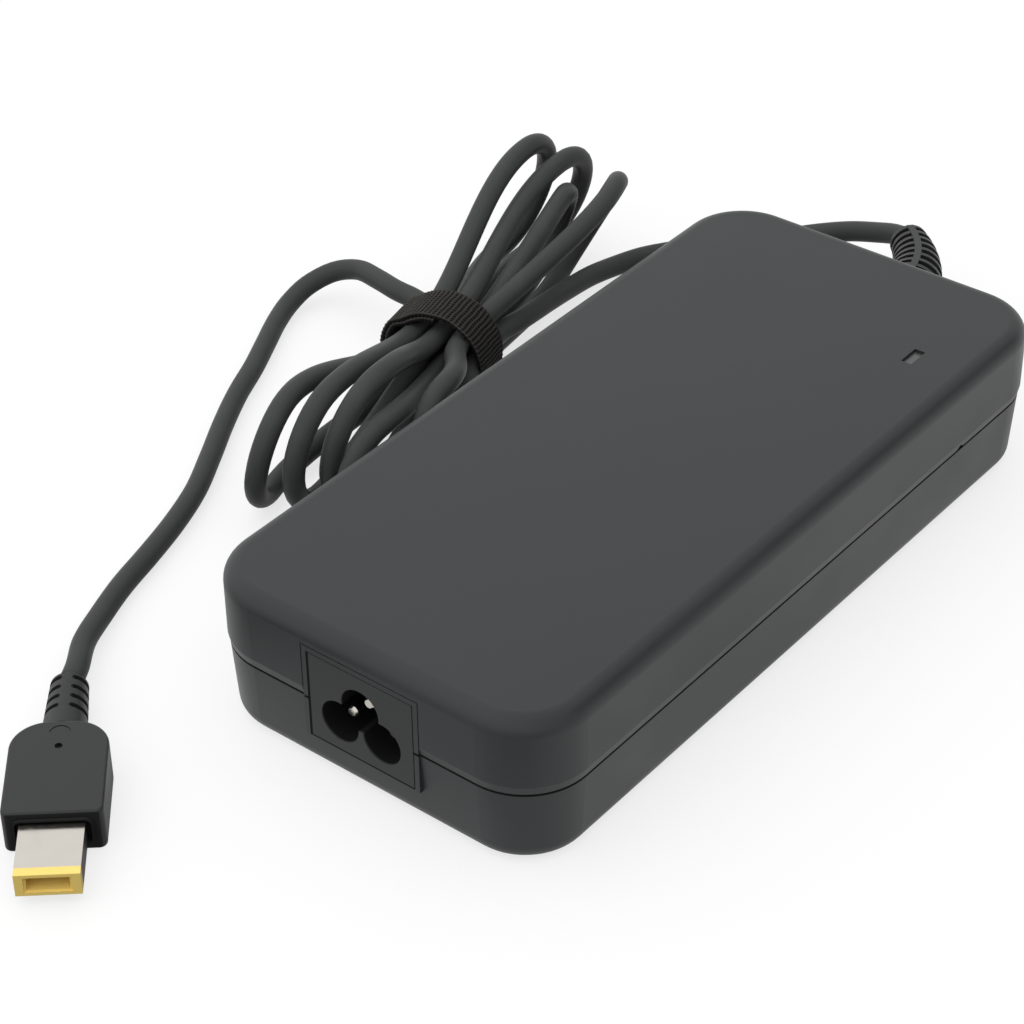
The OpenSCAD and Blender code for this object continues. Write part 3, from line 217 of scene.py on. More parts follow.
# %% The free stretches
output_lead = np.array([
    sleeve_end, sleeve_end + cord_diameter / 4 * sleeve_dir,
    [-15, 110.2, 14.6], [-20.5, 111.3, 12.6], [-27, 111.6, 10.4], [-34, 110.2, 8],
    [-41.5, 106.8, 5.6], [-49, 103, 3.6], [-56, 98, 2.5], [-60.5, 92.5, 2.4], [-63.8, 87, 2.5],
    [-65.7, 80, 3], [-65.9, 71.5, 4.6], [-64.8, 62.5, 6.4], [-63.2, 52.5, 8.4],
    [-61.6, 42.5, 10.2],
    hank_start + cord_diameter * waist_dir, hank_start,
])
connector_lead = np.array([
    hank_end, hank_end + cord_diameter / 2 * last_dir,
    [-79.3, 32.2, 11.2], [-83, 33.4, 11.2], [-88.5, 34, 11], [-95.5, 36, 10.2], [-103, 38, 8.8],
    [-109, 36.8, 6.6], [-112.2, 32, 4.4], [-112.2, 26, 2.9], [-110, 19.5, 2.4], [-106, 11.5, 2.4],
    [-102, 3.5, 2.4], [-97.8, -6, 2.4], [-92.8, -15.5, 2.4], [-87, -25.5, 2.4],
    [-81.5, -35.5, 2.4], [-77.5, -45.5, 2.4], [-74.4, -55.5, 2.4], [-71.5, -66, 2.4],
    [-68, -75, 2.7], [-64.2, -82.8, 3.5],
    boot_end + cord_diameter * boot_end_dir, boot_end,
])
print("points placed by hand:", len(output_lead) + len(connector_lead))


# %% One smooth line
least_span = 1e-6


def through(points, step):
    """Points about step apart on a smooth curve through these points."""
    padded = np.vstack([2 * points[0] - points[1], points, 2 * points[-1] - points[-2]])
    made = []
    for before, here, there, after in zip(padded, padded[1:], padded[2:], padded[3:]):
        near, span, far = (max(np.linalg.norm(b - a), least_span) ** 0.5
                           for a, b in ((before, here), (here, there), (there, after)))
        leave = (here - before) / near - (there - before) / (near + span) + (there - here) / span
        arrive = (there - here) / span - (after - here) / (span + far) + (after - there) / far
        count = max(1, round(np.linalg.norm(there - here) / step))
        for i in range(count):
            s = i / count
            made.append((2 * s ** 3 - 3 * s ** 2 + 1) * here
                        + (s ** 3 - 2 * s ** 2 + s) * span * leave
                        + (3 * s ** 2 - 2 * s ** 3) * there
                        + (s ** 3 - s ** 2) * span * arrive)
    return np.array(made + [points[-1]])


cord_line = through(np.vstack([output_lead[:-1], hank_line, connector_lead[1:]]), step=1.5)

# %% [markdown]
# ## A tube from a line
# A curve object with a bevel would draw the cord too. A mesh is made here instead, because a
# mesh can carry a map of its surface, in metres along and round the cord. The finish needs that
# map for the faint lines that the extruder leaves along real cable. Each ring is carried on from
# the last with the least twist, or the map would wind round the cord at every bend. The strap
# needs a mesh with a map too, so one helper makes both.


# %% A mesh with a map
def mapped_mesh(name, points, faces, spread):
    """A smooth mesh: points in millimetres, and the map's place in metres at each corner."""
    mesh = bpy.data.meshes.new(name)
    mesh.from_pydata((np.asarray(points) * MM).tolist(), [], faces)
    surface = mesh.uv_layers.new(name="surface")
    surface.data.foreach_set("uv", np.asarray(spread).ravel())
    mesh.shade_smooth()
    return mesh


def add_piece(name, mesh, replaced):
    """A new piece that rides on the adapter and stands for CAD parts."""
    piece = bpy.data.objects.new(name, mesh)
    bpy.context.scene.collection.objects.link(piece)
    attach(piece, "root")
    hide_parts(*replaced)
    return piece


# %% Rings along a line
def rings(line, radius, sides):
    """The corners of a tube round this line, ring after ring."""
    ahead = np.gradient(line, axis=0)
    ahead /= np.linalg.norm(ahead, axis=1)[:, None]
    side = np.cross(ahead[0], [0, 0, 1])
    turns = np.arange(sides) * 2 * math.pi / sides
    corners = []
    for place, direction in zip(line, ahead):
        side = side - side @ direction * direction
        side /= np.linalg.norm(side)
        over = np.cross(direction, side)
        corners.append(place + radius * (np.cos(turns)[:, None] * side
                                         + np.sin(turns)[:, None] * over))
    return np.vstack(corners)


# %% Tube
def tube_mesh(name, line, radius, sides):
    """A closed tube whose map runs along the line and round it."""
    walls = [
        (r * sides + s, r * sides + (s + 1) % sides,
         (r + 1) * sides + (s + 1) % sides, (r + 1) * sides + s)
        for r in range(len(line) - 1) for s in range(sides)
    ]
    last = (len(line) - 1) * sides
    caps = [tuple(range(sides))[::-1], tuple(range(last, last + sides))]
    along = np.concatenate([[0], np.cumsum(np.linalg.norm(np.diff(line, axis=0), axis=1))]) * MM
    around = 2 * math.pi * radius * MM / sides
    spread = []
    for r in range(len(line) - 1):
        for s in range(sides):
            spread += [(along[r], s * around), (along[r], (s + 1) * around),
                       (along[r + 1], (s + 1) * around), (along[r + 1], s * around)]
    spread += [(0, 0)] * (2 * sides)
    return mapped_mesh(name, rings(line, radius, sides), walls + caps, spread)


cord_sides = 20
cord = add_piece(
    "output_cord", tube_mesh("output_cord", cord_line, cord_diameter / 2, cord_sides),
    ["output_lead", "cord_hank", "connector_lead"])
print("cord faces:", len(cord.data.polygons))

# %% [markdown]
# ## The strap
# The real strap is hook-and-loop tape, woven coarsely in black nylon: about a millimetre from
# rib to rib along it and less from thread to thread across, with a square pit between them. A
# bump could suggest the weave, but the strap is seen edge-on at its outline, so the ribs are
# real: a band of small faces is wound round the waist, past its own start, and each point is
# lifted by the pattern of the weave.
#
# The tape's first end is tucked in under the rest. The map runs over the outer face, round the
# edge and back over the inner face, so that the finish can tell them apart.

# %% Size of the strap
strap_inner, strap_layer, strap_width = 10.1, 0.9, 9.6
strand_gap, layer_gap = 0.1, 0.05
strap_start, strap_sweep = math.radians(150), math.radians(360 + 62)
tuck_sweep, tuck_depth = math.radians(62), 1.15
step_turn = 0.35
rib_pitch, column_pitch, weave_depth, thread_height = 0.98, 0.8, 0.26, 0.7
steps_along, steps_across = 620, 73
strap_length = (tuck_sweep + strap_sweep) * (strap_inner + strap_layer)
print("strap:", round(strap_length), "mm of tape,", strap_width, "mm wide")


# %% Weave, and soft steps
def crest(run, pitch):
    """0 in the hollows and 1 on the crests of a wave, with straight flanks between."""
    return np.clip((np.cos(2 * np.pi * run / pitch) + 0.2) / 0.6, 0, 1)


def strap_weave(along, across):
    """Height of the weave, in mm: whole ribs across the tape, joined by thinner threads."""
    return weave_depth * np.maximum(
        crest(along, rib_pitch), thread_height * crest(across, column_pitch))


def smooth(share):
    """A step from 0 to 1 that starts and ends gently."""
    share = np.clip(share, 0, 1)
    return share * share * (3 - 2 * share)


print("one rib spans", round(steps_along * rib_pitch / strap_length, 1), "rows of faces")

# %% Where the tape lies
weave_wander, out_of_round = 0.05, 0.012
turned_by = np.linspace(-tuck_sweep, strap_sweep, steps_along)
across = np.linspace(-0.5, 0.5, steps_across) * strap_width
long, wide = np.meshgrid(turned_by * (strap_inner + strap_layer), across, indexing="ij")
long = long + weave_wander * np.sin(1.3 * wide + 0.5 * long)
near_edge = strap_width / 2 - np.abs(wide)

lap = smooth((turned_by - 2 * math.pi + step_turn) / step_turn)
tuck = smooth(-turned_by / step_turn)
inner = strap_inner + strand_gap + lap * (strap_layer + layer_gap) - tuck_depth * tuck
squeeze = 1 + out_of_round * np.sin(3 * turned_by + 0.6)
print("tape lies from", round(inner.min(), 1), "to", round(inner.max(), 1), "mm from the middle")

# %% How thick the tape is, and how its edges fray
bead_height, bead_place, bead_reach = 0.08, 0.12, 0.1
rounding_depth, rounding_reach = 0.15, 0.12
rib_fray, slow_fray, fray_reach = 0.06, 0.08, 0.5
tip_reach, tip_least = 0.8, 0.25
bead = bead_height * np.exp(-((near_edge - bead_place) / bead_reach) ** 2)
rounding = rounding_depth * np.clip(1 - near_edge / rounding_reach, 0, 1) ** 2
thick = strap_layer - weave_depth + strap_weave(long, wide) + bead - rounding
tip = np.clip((turned_by[-1] - turned_by) * strap_inner / tip_reach, 0, 1) ** 0.5
thick = thick * np.maximum(tip, tip_least)[:, None]
fray = rib_fray * np.cos(2 * np.pi * long / rib_pitch) + slow_fray * np.sin(0.9 * long)
sideways = wide + np.sign(wide) * fray * np.clip(1 - near_edge / fray_reach, 0, 1)
print("thickest place", round(thick.max(), 2), "mm; widest", round(np.ptp(sideways), 2), "mm")


# %% Both faces of the tape
def tape_face(radius):
    """Points of one face of the tape, this far from the middle of the waist."""
    radius, angle = radius * squeeze[:, None], strap_start + turned_by
    place = (waist + radius[..., None] * (
        np.cos(angle)[:, None, None] * waist_side + np.sin(angle)[:, None, None]
        * np.array([0, 0, 1])) + sideways[..., None] * waist_dir)
    return place.reshape(-1, 3)


def at(layer, i, j):
    """The number of a point: layer 0 is the outer face, 1 the inner one."""
    return (layer * steps_along + i) * steps_across + j


def tape_quads():
    """Both faces of the tape, its two long edges and its two ends."""
    faces = []
    for i in range(steps_along - 1):
        for j in range(steps_across - 1):
            faces.append((at(0, i, j), at(0, i, j + 1), at(0, i + 1, j + 1), at(0, i + 1, j)))
            faces.append((at(1, i, j), at(1, i + 1, j), at(1, i + 1, j + 1), at(1, i, j + 1)))
        for j, flip in ((0, False), (steps_across - 1, True)):
            rim = (at(0, i, j), at(0, i + 1, j), at(1, i + 1, j), at(1, i, j))
            faces.append(rim[::-1] if flip else rim)
    for j in range(steps_across - 1):
        for i, flip in ((0, True), (steps_along - 1, False)):
            rim = (at(0, i, j), at(0, i, j + 1), at(1, i, j + 1), at(1, i, j))
            faces.append(rim if flip else rim[::-1])
    return faces


tape_points = np.vstack([tape_face(inner[:, None] + thick),
                         tape_face(inner[:, None] + rounding / 2)])
print("strap points:", len(tape_points))

# %% Strap, wound round the waist
under = np.sign(wide) * (strap_width / 2 + strap_layer + near_edge)
tape_map = np.stack([np.tile(long.ravel(), 2), np.append(wide, under)], axis=1) * MM
quads = tape_quads()
strap = add_piece(
    "woven_strap", mapped_mesh("woven_strap", tape_points, quads, tape_map[np.array(quads)]),
    ["cable_strap"])
print("strap faces:", len(strap.data.polygons))

# %% [markdown]

# %% [markdown]
# ## Shader maths as Python
# A material's nodes are sums and products of signals. Linking them one by one is slow to write
# and to read, so one small class wraps a socket, and the usual signs of arithmetic add the
# nodes. A Math node would turn a colour grey, so colours go through Mix and vectors through
# Vector Math. Every other node comes from one method.


# %% Signals
class Signal:
    """A number, colour or vector on its way through a material."""

    def __init__(self, owner, socket):
        self.owner = owner
        self.socket = socket

    def __add__(self, other):
        return self.owner.combine("ADD", self, other)

    def __radd__(self, other):
        return self.owner.combine("ADD", other, self)

    def __sub__(self, other):
        return self.owner.combine("SUBTRACT", self, other)

    def __rsub__(self, other):
        return self.owner.combine("SUBTRACT", other, self)

    def __mul__(self, other):
        return self.owner.combine("MULTIPLY", self, other)

    def __rmul__(self, other):
        return self.owner.combine("MULTIPLY", other, self)


# %% Nodes on a tree
class Nodes:
    """The nodes of a material or of the world, and the methods that add more."""

    def __init__(self, tree):
        self.tree = tree

    def set(self, holder, key, value):
        """Gives a node's socket a number, a colour, a vector or a signal."""
        socket = holder.inputs[key]
        if isinstance(value, Signal):
            self.tree.links.new(value.socket, socket)
            return
        if socket.type in ("RGBA", "VECTOR") and isinstance(value, (int, float)):
            value = (value,) * 3
        socket.default_value = (*value, 1) if socket.type == "RGBA" else value

    def node(self, kind, settings=None, inputs=None, out=0):
        """Adds a node: its settings first, then the values or links of its sockets."""
        made = self.tree.nodes.new("ShaderNode" + kind)
        for name, value in (settings or {}).items():
            setattr(made, name, value)
        for key, value in (inputs or {}).items():
            self.set(made, key, value)
        return Signal(self, made.outputs[out]) if out is not None else None

    def combine(self, operation, first, second):
        """Sums and products, by the node that suits what is combined."""
        kinds = {s.socket.type for s in (first, second) if isinstance(s, Signal)}
        if "RGBA" in kinds:
            return self.node("Mix", {"data_type": "RGBA", "blend_type": operation},
                             {0: 1.0, 6: first, 7: second}, out=2)
        if "VECTOR" in kinds:
            return self.node("VectorMath", {"operation": operation}, {0: first, 1: second})
        return self.node("Math", {"operation": operation}, {0: first, 1: second})

    def larger(self, first, second):
        """The larger of two numbers."""
        return self.node("Math", {"operation": "MAXIMUM"}, {0: first, 1: second})

    def magnitude(self, value):
        """A number without its sign."""
        return self.node("Math", {"operation": "ABSOLUTE"}, {0: value})

    def ripple(self, value, pitch):
        """A wave from -1 to 1 that repeats at this pitch."""
        return self.node("Math", {"operation": "COSINE"}, {0: value * (2 * math.pi / pitch)})

    def mix(self, share, first, second):
        """One colour turning into another as share goes from 0 to 1."""
        return self.node("Mix", {"data_type": "RGBA"}, {0: share, 6: first, 7: second}, out=2)

    def between(self, value, low, high, to_low=0.0, to_high=1.0):
        """A soft step: to_low up to low, to_high from high on."""
        return self.node("MapRange", {"interpolation_type": "SMOOTHSTEP"},
                         {"Value": value, "From Min": low, "From Max": high,
                          "To Min": to_low, "To Max": to_high})

    def split(self, vector, axis):
        """One coordinate of a vector."""
        return self.node("SeparateXYZ", {}, {0: vector}, out="XYZ".index(axis))


# %% One material in the making
class Finish(Nodes):
    """A material, its Principled shader and the patterns that its surface can take."""

    def __init__(self, name):
        self.material = bpy.data.materials.new(name)
        self.material.use_nodes = True
        super().__init__(self.material.node_tree)
        self.shader = next(n for n in self.tree.nodes if n.type == "BSDF_PRINCIPLED")

    def place(self):
        """Where the surface is in the adapter's own frame, in millimetres."""
        return self.node("TexCoord", out="Object") * (1 / MM)

    def facing(self, direction):
        """1 where the surface looks this way, -1 where it looks the other way."""
        return self.node("VectorMath", {"operation": "DOT_PRODUCT"},
                         {0: self.node("TexCoord", out="Normal"), 1: direction}, out="Value")

    def on_map(self):
        """Where the surface is on the piece's own map, in millimetres along and across it."""
        return self.node("UVMap", {"uv_map": "surface"}) * (1 / MM)

    def noise(self, vector, per_mm, detail=2.0, roughness=0.5):
        """Soft noise around 0.5, with this many lumps per millimetre."""
        return self.node("TexNoise", {}, {"Vector": vector, "Scale": per_mm, "Detail": detail,
                                          "Roughness": roughness})

    def bump(self, height, millimetres, under=None):
        """Turns a height from 0 to 1 into a lean of the surface, this deep."""
        inputs = {"Height": height, "Distance": millimetres * MM, "Strength": 1.0}
        if under is not None:
            inputs["Normal"] = under
        return self.node("Bump", {}, inputs)

    def finish(self, colour, roughness, normal=None, **constants):
        """Feeds the shader, and gives the material that is made."""
        self.set(self.shader, "Base Color", colour)
        self.set(self.shader, "Roughness", roughness)
        if normal is not None:
            self.set(self.shader, "Normal", normal)
        for name, value in constants.items():
            self.set(self.shader, name.replace("_", " "), value)
        return self.material


# %% Colours as a screen shows them
def srgb(red, green, blue):
    """A colour as it shows on a screen, 0 to 255, made linear."""
    def linear(c):
        c /= 255
        return c / 12.92 if c <= 0.04045 else ((c + 0.055) / 1.055) ** 2.4
    return tuple(linear(c) for c in (red, green, blue))


print("128 on a screen is", round(srgb(128, 128, 128)[0], 3), "in linear light")

# %% [markdown]
# ## Moulded plastic and rubber
# The brick is moulded in a steel tool whose walls were spark-eroded, which leaves a fine, dull
# grain; the connector and the sleeves are softer and smoother. All are dyed through, so they
# differ only in colour, grain and sheen: one function makes them. Handling leaves faint paler
# rubs, and a slow drift of tone keeps a large face from looking computed.


# %% Shades of one colour
def scaled(colour, factor):
    """The same colour, so many times as bright."""
    return tuple(min(1.0, c * factor) for c in colour)


def with_dirt_and_shade(f, dirt_and_shade, colour, base, rough, left, rougher):
    """Leaves so much of the colour, and adds roughness, on the share of dirt and painted shade."""
    if dirt_and_shade is None:
        return base, rough
    share = dirt_and_shade(f)
    return f.mix(share, base, scaled(colour, left)), rough + rougher * share


# %% Plastic
def moulded(name, colour, roughness, grain_per_mm, grain_depth, tone=0.06, rubs=0.10, sheen=0.2,
            dirt_and_shade=None):
    """Dyed plastic. tone is how far its shade drifts, rubs how pale its worn places are."""
    f = Finish(name)
    place = f.place()
    drift = f.between(f.noise(place, per_mm=0.035, detail=3), 0.3, 0.7)
    grain = f.noise(place, grain_per_mm, detail=3, roughness=0.6)
    scratch = f.noise(place * (0.25, 4.0, 1.0), per_mm=0.35, detail=4, roughness=0.65)
    worn = f.between(f.noise(place, per_mm=0.05), 0.5, 0.65)
    rub = f.between(scratch, 0.6, 0.8) * worn
    dyed = f.mix(drift, scaled(colour, 1 - tone), scaled(colour, 1 + tone))
    grained = f.mix(f.between(grain, 0.25, 0.75) * 0.25, dyed, scaled(colour, 1.25))
    base = f.mix(rub * rubs, grained, scaled(colour, 2.2))
    rough = roughness + 0.08 * (drift - 0.5) + 0.08 * (grain - 0.5) - 0.06 * rub
    # Dirt at the parting line, and painted shade at the inlet and on the connector's front face
    base, rough = with_dirt_and_shade(f, dirt_and_shade, colour, base, rough, left=0.1, rougher=0.4)
    return f.finish(base, rough, f.bump(grain, grain_depth), Specular_IOR_Level=sheen)


# %% [markdown]
# Not all of a moulding looks the same. Dirt gathers along the parting line of the case. The rest
# is painted shade: the connector's front face, which gets little light from the front, the shadow
# of the gap along the lower and left edges of the mains inlet's face, and the inside of the inlet,
# where no light gets far. Each of these is a share from 0 to 1, worked out from the place or the
# facing of the surface, and the finish is rougher and blacker there.

# %% Where the case has dirt and the connector has painted shade
below_parting, above_parting = (15.3, 15.42), (15.85, 16.0)
square_on = (0.8, 0.95)


def parting_line(f):
    """The rims on both sides of the parting line."""
    height = f.split(f.place(), "Z")
    return f.between(height, *below_parting) * f.between(height, *above_parting, 1.0, 0.0)


def plug_front_shade(f):
    """The connector's front face, painted darker as shade: little light reaches it."""
    return f.between(f.facing(tuple((-plug_back).tolist())), *square_on)


# %% Painted shade in and around the mains inlet
inlet_points = [v.co / MM for v in nodes["inlet_housing"].data.vertices]
inlet_front = min(p.y for p in inlet_points)
face_points = [p for p in inlet_points if p.y < inlet_front + 0.1]
face_left, face_low = min(p.x for p in face_points), min(p.z for p in face_points)
dark_from, dark_by = 0.05, 0.5
edge_width, edge_end = 0.2, 0.45


def inlet_shade(f):
    """Painted shade inside the mains inlet and along the lower and left edges of its face."""
    place = f.place()
    inside = f.between(f.split(place, "Y"), inlet_front + dark_from, inlet_front + dark_by)
    left = f.between(f.split(place, "X"), face_left + edge_width, face_left + edge_end, 1.0, 0.0)
    low = f.between(f.split(place, "Z"), face_low + edge_width, face_low + edge_end, 1.0, 0.0)
    return f.larger(inside, f.larger(left, low))


print("inlet face from", round(face_left, 1), "across and", round(face_low, 1), "up")

# %% The plastics
plastics = {
    "case_plastic": dict(colour=srgb(45, 47, 48), roughness=0.42, grain_per_mm=3.0,
                         grain_depth=0.02, sheen=0.36, dirt_and_shade=parting_line),
    "inlet_plastic": dict(colour=srgb(60, 61, 61), roughness=0.5, grain_per_mm=3.0,
                          grain_depth=0.02, dirt_and_shade=inlet_shade),
    "connector_plastic": dict(colour=srgb(42, 43, 44), roughness=0.42, grain_per_mm=4.0,
                              grain_depth=0.02, sheen=0.36, dirt_and_shade=plug_front_shade),
    "soft_rubber": dict(colour=srgb(42, 43, 43), roughness=0.45, grain_per_mm=4.0,
                        grain_depth=0.02, tone=0.1, sheen=0.35),
    "chip_plastic": dict(colour=srgb(36, 37, 39), roughness=0.6, grain_per_mm=5.0,
                         grain_depth=0.03),
    "bobbin_plastic": dict(colour=srgb(204, 198, 180), roughness=0.5, grain_per_mm=3.0,
                           grain_depth=0.01),
    "yellow_plastic": dict(colour=srgb(243, 212, 120), roughness=0.38, grain_per_mm=3.0,
                           grain_depth=0.008, tone=0.04, rubs=0.04),
}
finishes = {name: moulded(name, **look) for name, look in plastics.items()}
print("plastics:", *finishes)

# %% [markdown]
# ## The cord's sheath
# Cable sheath is squeezed out of a ring-shaped die while it is soft. It comes out satin, with
# faint lines along its length, and slightly dusty where it has been handled. The lines follow
# the cord's own map, so that they bend with it.


# %% Cord
def cable_sheath(name, colour):
    """Satin sheath with faint lines along it and a little dust."""
    f = Finish(name)
    on_map, place = f.on_map(), f.place()
    lines = f.noise(on_map * (0.04, 1.0, 1.0), per_mm=2.2, detail=3, roughness=0.6)
    waves = f.noise(on_map * (1.0, 0.15, 1.0), per_mm=0.12)
    dust = f.between(f.noise(place, per_mm=0.09, detail=4, roughness=0.6), 0.5, 0.75)
    dyed = f.mix(lines, scaled(colour, 0.88), scaled(colour, 1.12))
    base = f.mix(dust * 0.12, dyed, scaled(colour, 2.0))
    rough = 0.42 + 0.1 * (lines - 0.5) + 0.1 * dust + 0.05 * (waves - 0.5)
    wavy = f.bump(waves, 0.10)
    return f.finish(base, rough, f.bump(lines, 0.03, under=wavy), Specular_IOR_Level=0.06)


finishes["cord_rubber"] = cable_sheath("cord_rubber", srgb(65, 66, 66))
print("cord_rubber has", len(finishes["cord_rubber"].node_tree.nodes), "nodes")

# %% [markdown]
# ## The strap's nylon
# The ribs are already in the mesh. The finish adds what is finer: strands inside each thread,
# painted shade in the pits between the ribs, a slight sheen, and stray fibres that catch the
# light.


# %% Strap
def woven_nylon(name, rib_colour, pit_shade_colour, edge_colour):
    """Pale ribs over pits painted near-black as shade, a paler woven edge and a dark inner face.
    """
    f = Finish(name)
    place, on_map = f.place(), f.on_map()
    rib = f.ripple(f.split(on_map, "X"), rib_pitch)
    from_middle = f.split(on_map, "Y")
    thread = f.ripple(from_middle, column_pitch)
    raised = f.larger(f.between(rib, 0.0, 0.6), f.between(thread, 0.1, 0.7) * 0.5)
    past_edge = f.magnitude(from_middle) - strap_width / 2
    edge, inside = f.between(past_edge, -0.3, -0.15), f.between(past_edge, 0.1, 0.35)
    strands = f.noise(place, per_mm=5.0, detail=4, roughness=0.7)
    fuzz = f.between(f.noise(place, per_mm=9.0), 0.66, 0.78)
    woven = f.mix(f.between(strands, 0.3, 0.7), scaled(rib_colour, 0.75), scaled(rib_colour, 1.3))
    # The pits between the ribs are painted near-black, as shade
    base = f.mix(raised, pit_shade_colour, woven)
    base = f.mix(inside, f.mix(edge, base, edge_colour), scaled(pit_shade_colour, 1.6))
    base = f.mix(fuzz * 0.15, base, srgb(84, 82, 80))
    return f.finish(base, 0.8 + 0.2 * (strands - 0.5), f.bump(strands, 0.08),
                    Specular_IOR_Level=0.15, Sheen_Weight=0.05)


# The second colour is painted shade for the pits between the ribs
finishes["strap_fabric"] = woven_nylon(
    "strap_fabric", srgb(50, 48, 45), srgb(6, 6, 6), srgb(60, 58, 55))
print("strap_fabric has", len(finishes["strap_fabric"].node_tree.nodes), "nodes")

# %% [markdown]
# ## Metals
# The contacts and the connector's barrel are plated and polished; the heat sinks and the shield
# are plain rolled sheet; the screws are zinc plated. All are metal with a slightly uneven
# polish. Rolling leaves lines in one direction, which a stretched noise gives. The barrel's
# narrow sides are painted dark as shade, and made rougher.


# %% Metal
def metal(name, colour, roughness, stretch=(1.0, 1.0, 1.0), lines_per_mm=1.0, dirt_and_shade=None):
    """Plated or rolled metal; stretch below 1 draws the polish out into lines."""
    f = Finish(name)
    place = f.place()
    lines = f.noise(place * stretch, lines_per_mm, detail=4, roughness=0.6)
    stain = f.between(f.noise(place, per_mm=0.25, detail=3), 0.45, 0.75)
    base = f.mix(lines, scaled(colour, 0.95), scaled(colour, 1.04))
    base = f.mix(stain * 0.15, base, scaled(colour, 0.8))
    rough = roughness + 0.1 * (lines - 0.5) + 0.08 * stain
    # Painted shade on the barrel's narrow sides
    base, rough = with_dirt_and_shade(f, dirt_and_shade, colour, base, rough, left=0.08, rougher=0.3)
    return f.finish(base, rough, f.bump(lines, 0.004), Metallic=1.0)


# %% Painted shade on the barrel's sides
past_plug = (-112.0, -108.0)


def barrel_side_shade(f):
    """The barrel's narrow sides, painted dark as shade; the inlet's pins are left alone."""
    plug_side = (math.cos(plug_turn), math.sin(plug_turn), 0.0)
    on_plug = f.between(f.split(f.place(), "Y"), *past_plug, 1.0, 0.0)
    return f.between(f.magnitude(f.facing(plug_side)), *square_on) * on_plug


# %% The metals
metals = {
    "contact_metal": dict(colour=srgb(216, 211, 202), roughness=0.16, dirt_and_shade=barrel_side_shade),
    "gold_contact": dict(colour=srgb(222, 186, 106), roughness=0.2),
    "sheet_aluminium": dict(colour=srgb(206, 208, 210), roughness=0.34,
                            stretch=(0.05, 1.0, 1.0), lines_per_mm=3.0),
    "screw_steel": dict(colour=srgb(190, 192, 196), roughness=0.28),
}
finishes.update((name, metal(name, **look)) for name, look in metals.items())
print("metals:", *metals)

# %% [markdown]
# ## What is sealed inside
# Nobody sees these parts until the case is cut open, but the model may be opened, so each has
# the finish it has on a bench: green lacquer over glass cloth, dipped lacquer on the discs,
# printed sleeves on the capacitors, grey ferrite, enamelled wire and yellowish film.


# %% Board
def board_laminate(name):
    """Green lacquer over glass cloth, with the copper tracks showing through."""
    f = Finish(name)
    place = f.place()
    tracks = f.between(f.node("TexVoronoi", {"feature": "DISTANCE_TO_EDGE"},
                              {"Vector": place * (1.0, 1.0, 0.0), "Scale": 0.16}), 0.02, 0.05)
    cloth = (f.noise(place * (1.0, 0.1, 1.0), per_mm=3.0)
             * f.noise(place * (0.1, 1.0, 1.0), per_mm=3.0))
    lacquer = f.mix(tracks, srgb(38, 82, 52), srgb(52, 112, 68))
    base = f.mix(cloth, lacquer, srgb(70, 128, 84))
    return f.finish(base, 0.3 + 0.3 * cloth, f.bump(tracks, 0.03), Coat_Weight=0.3)


finishes["board_laminate"] = board_laminate("board_laminate")
print("board_laminate has", len(finishes["board_laminate"].node_tree.nodes), "nodes")


# %% Wound wire
def wound_wire(name, colour, turns_per_mm):
    """Enamelled wire, turn beside turn."""
    f = Finish(name)
    place = f.place()
    bands = f.node("TexWave", {"wave_type": "BANDS", "bands_direction": "DIAGONAL"},
                   {"Vector": place, "Scale": turns_per_mm, "Distortion": 0.6}, out=1)
    stain = f.noise(place, per_mm=0.3, detail=3)
    base = f.mix(bands, scaled(colour, 0.35), colour)
    base = f.mix(stain * 0.3, base, scaled(colour, 0.7))
    return f.finish(base, 0.3 + 0.2 * stain, f.bump(bands, 0.25), Coat_Weight=0.5)


finishes["copper_wire"] = wound_wire("copper_wire", srgb(186, 108, 56), turns_per_mm=0.5)
print("copper_wire has", len(finishes["copper_wire"].node_tree.nodes), "nodes")


# %% Lacquer, ceramic, ferrite, sleeves and film
def coated(name, colour, roughness, lumps_per_mm, lump_depth, speckle=0.1, **constants):
    """A dipped, sleeved or fired surface: soft lumps, small specks and a slow drift of tone."""
    f = Finish(name)
    place = f.place()
    lumps = f.noise(place, lumps_per_mm)
    specks = f.between(f.noise(place, per_mm=2.5), 0.6, 0.72)
    drift = f.between(f.noise(place, per_mm=0.12), 0.3, 0.7)
    base = f.mix(drift, scaled(colour, 0.9), scaled(colour, 1.08))
    base = f.mix(specks * speckle, base, scaled(colour, 0.5))
    rough = roughness + 0.15 * (lumps - 0.5) + 0.1 * specks
    return f.finish(base, rough, f.bump(lumps, lump_depth), **constants)


coatings = {
    "ceramic": dict(colour=srgb(226, 220, 204), roughness=0.35, lumps_per_mm=0.6,
                    lump_depth=0.05),
    "blue_coating": dict(colour=srgb(44, 94, 170), roughness=0.25, lumps_per_mm=0.35,
                         lump_depth=0.25, Coat_Weight=0.6),
    "green_coating": dict(colour=srgb(52, 82, 58), roughness=0.3, lumps_per_mm=0.35,
                          lump_depth=0.25, Coat_Weight=0.4),
    "ferrite": dict(colour=srgb(62, 62, 62), roughness=0.5, lumps_per_mm=1.5,
                    lump_depth=0.08, speckle=0.3),
    "insulation_film": dict(colour=srgb(222, 218, 200), roughness=0.3, lumps_per_mm=0.1,
                            lump_depth=0.15),
    "capacitor_sleeve": dict(colour=srgb(30, 36, 56), roughness=0.28, lumps_per_mm=0.5,
                             lump_depth=0.06),
    "wire_sleeve": dict(colour=srgb(150, 34, 32), roughness=0.42, lumps_per_mm=0.6,
                        lump_depth=0.05),
}
finishes.update((name, coated(name, **look)) for name, look in coatings.items())
print("coatings:", *coatings)


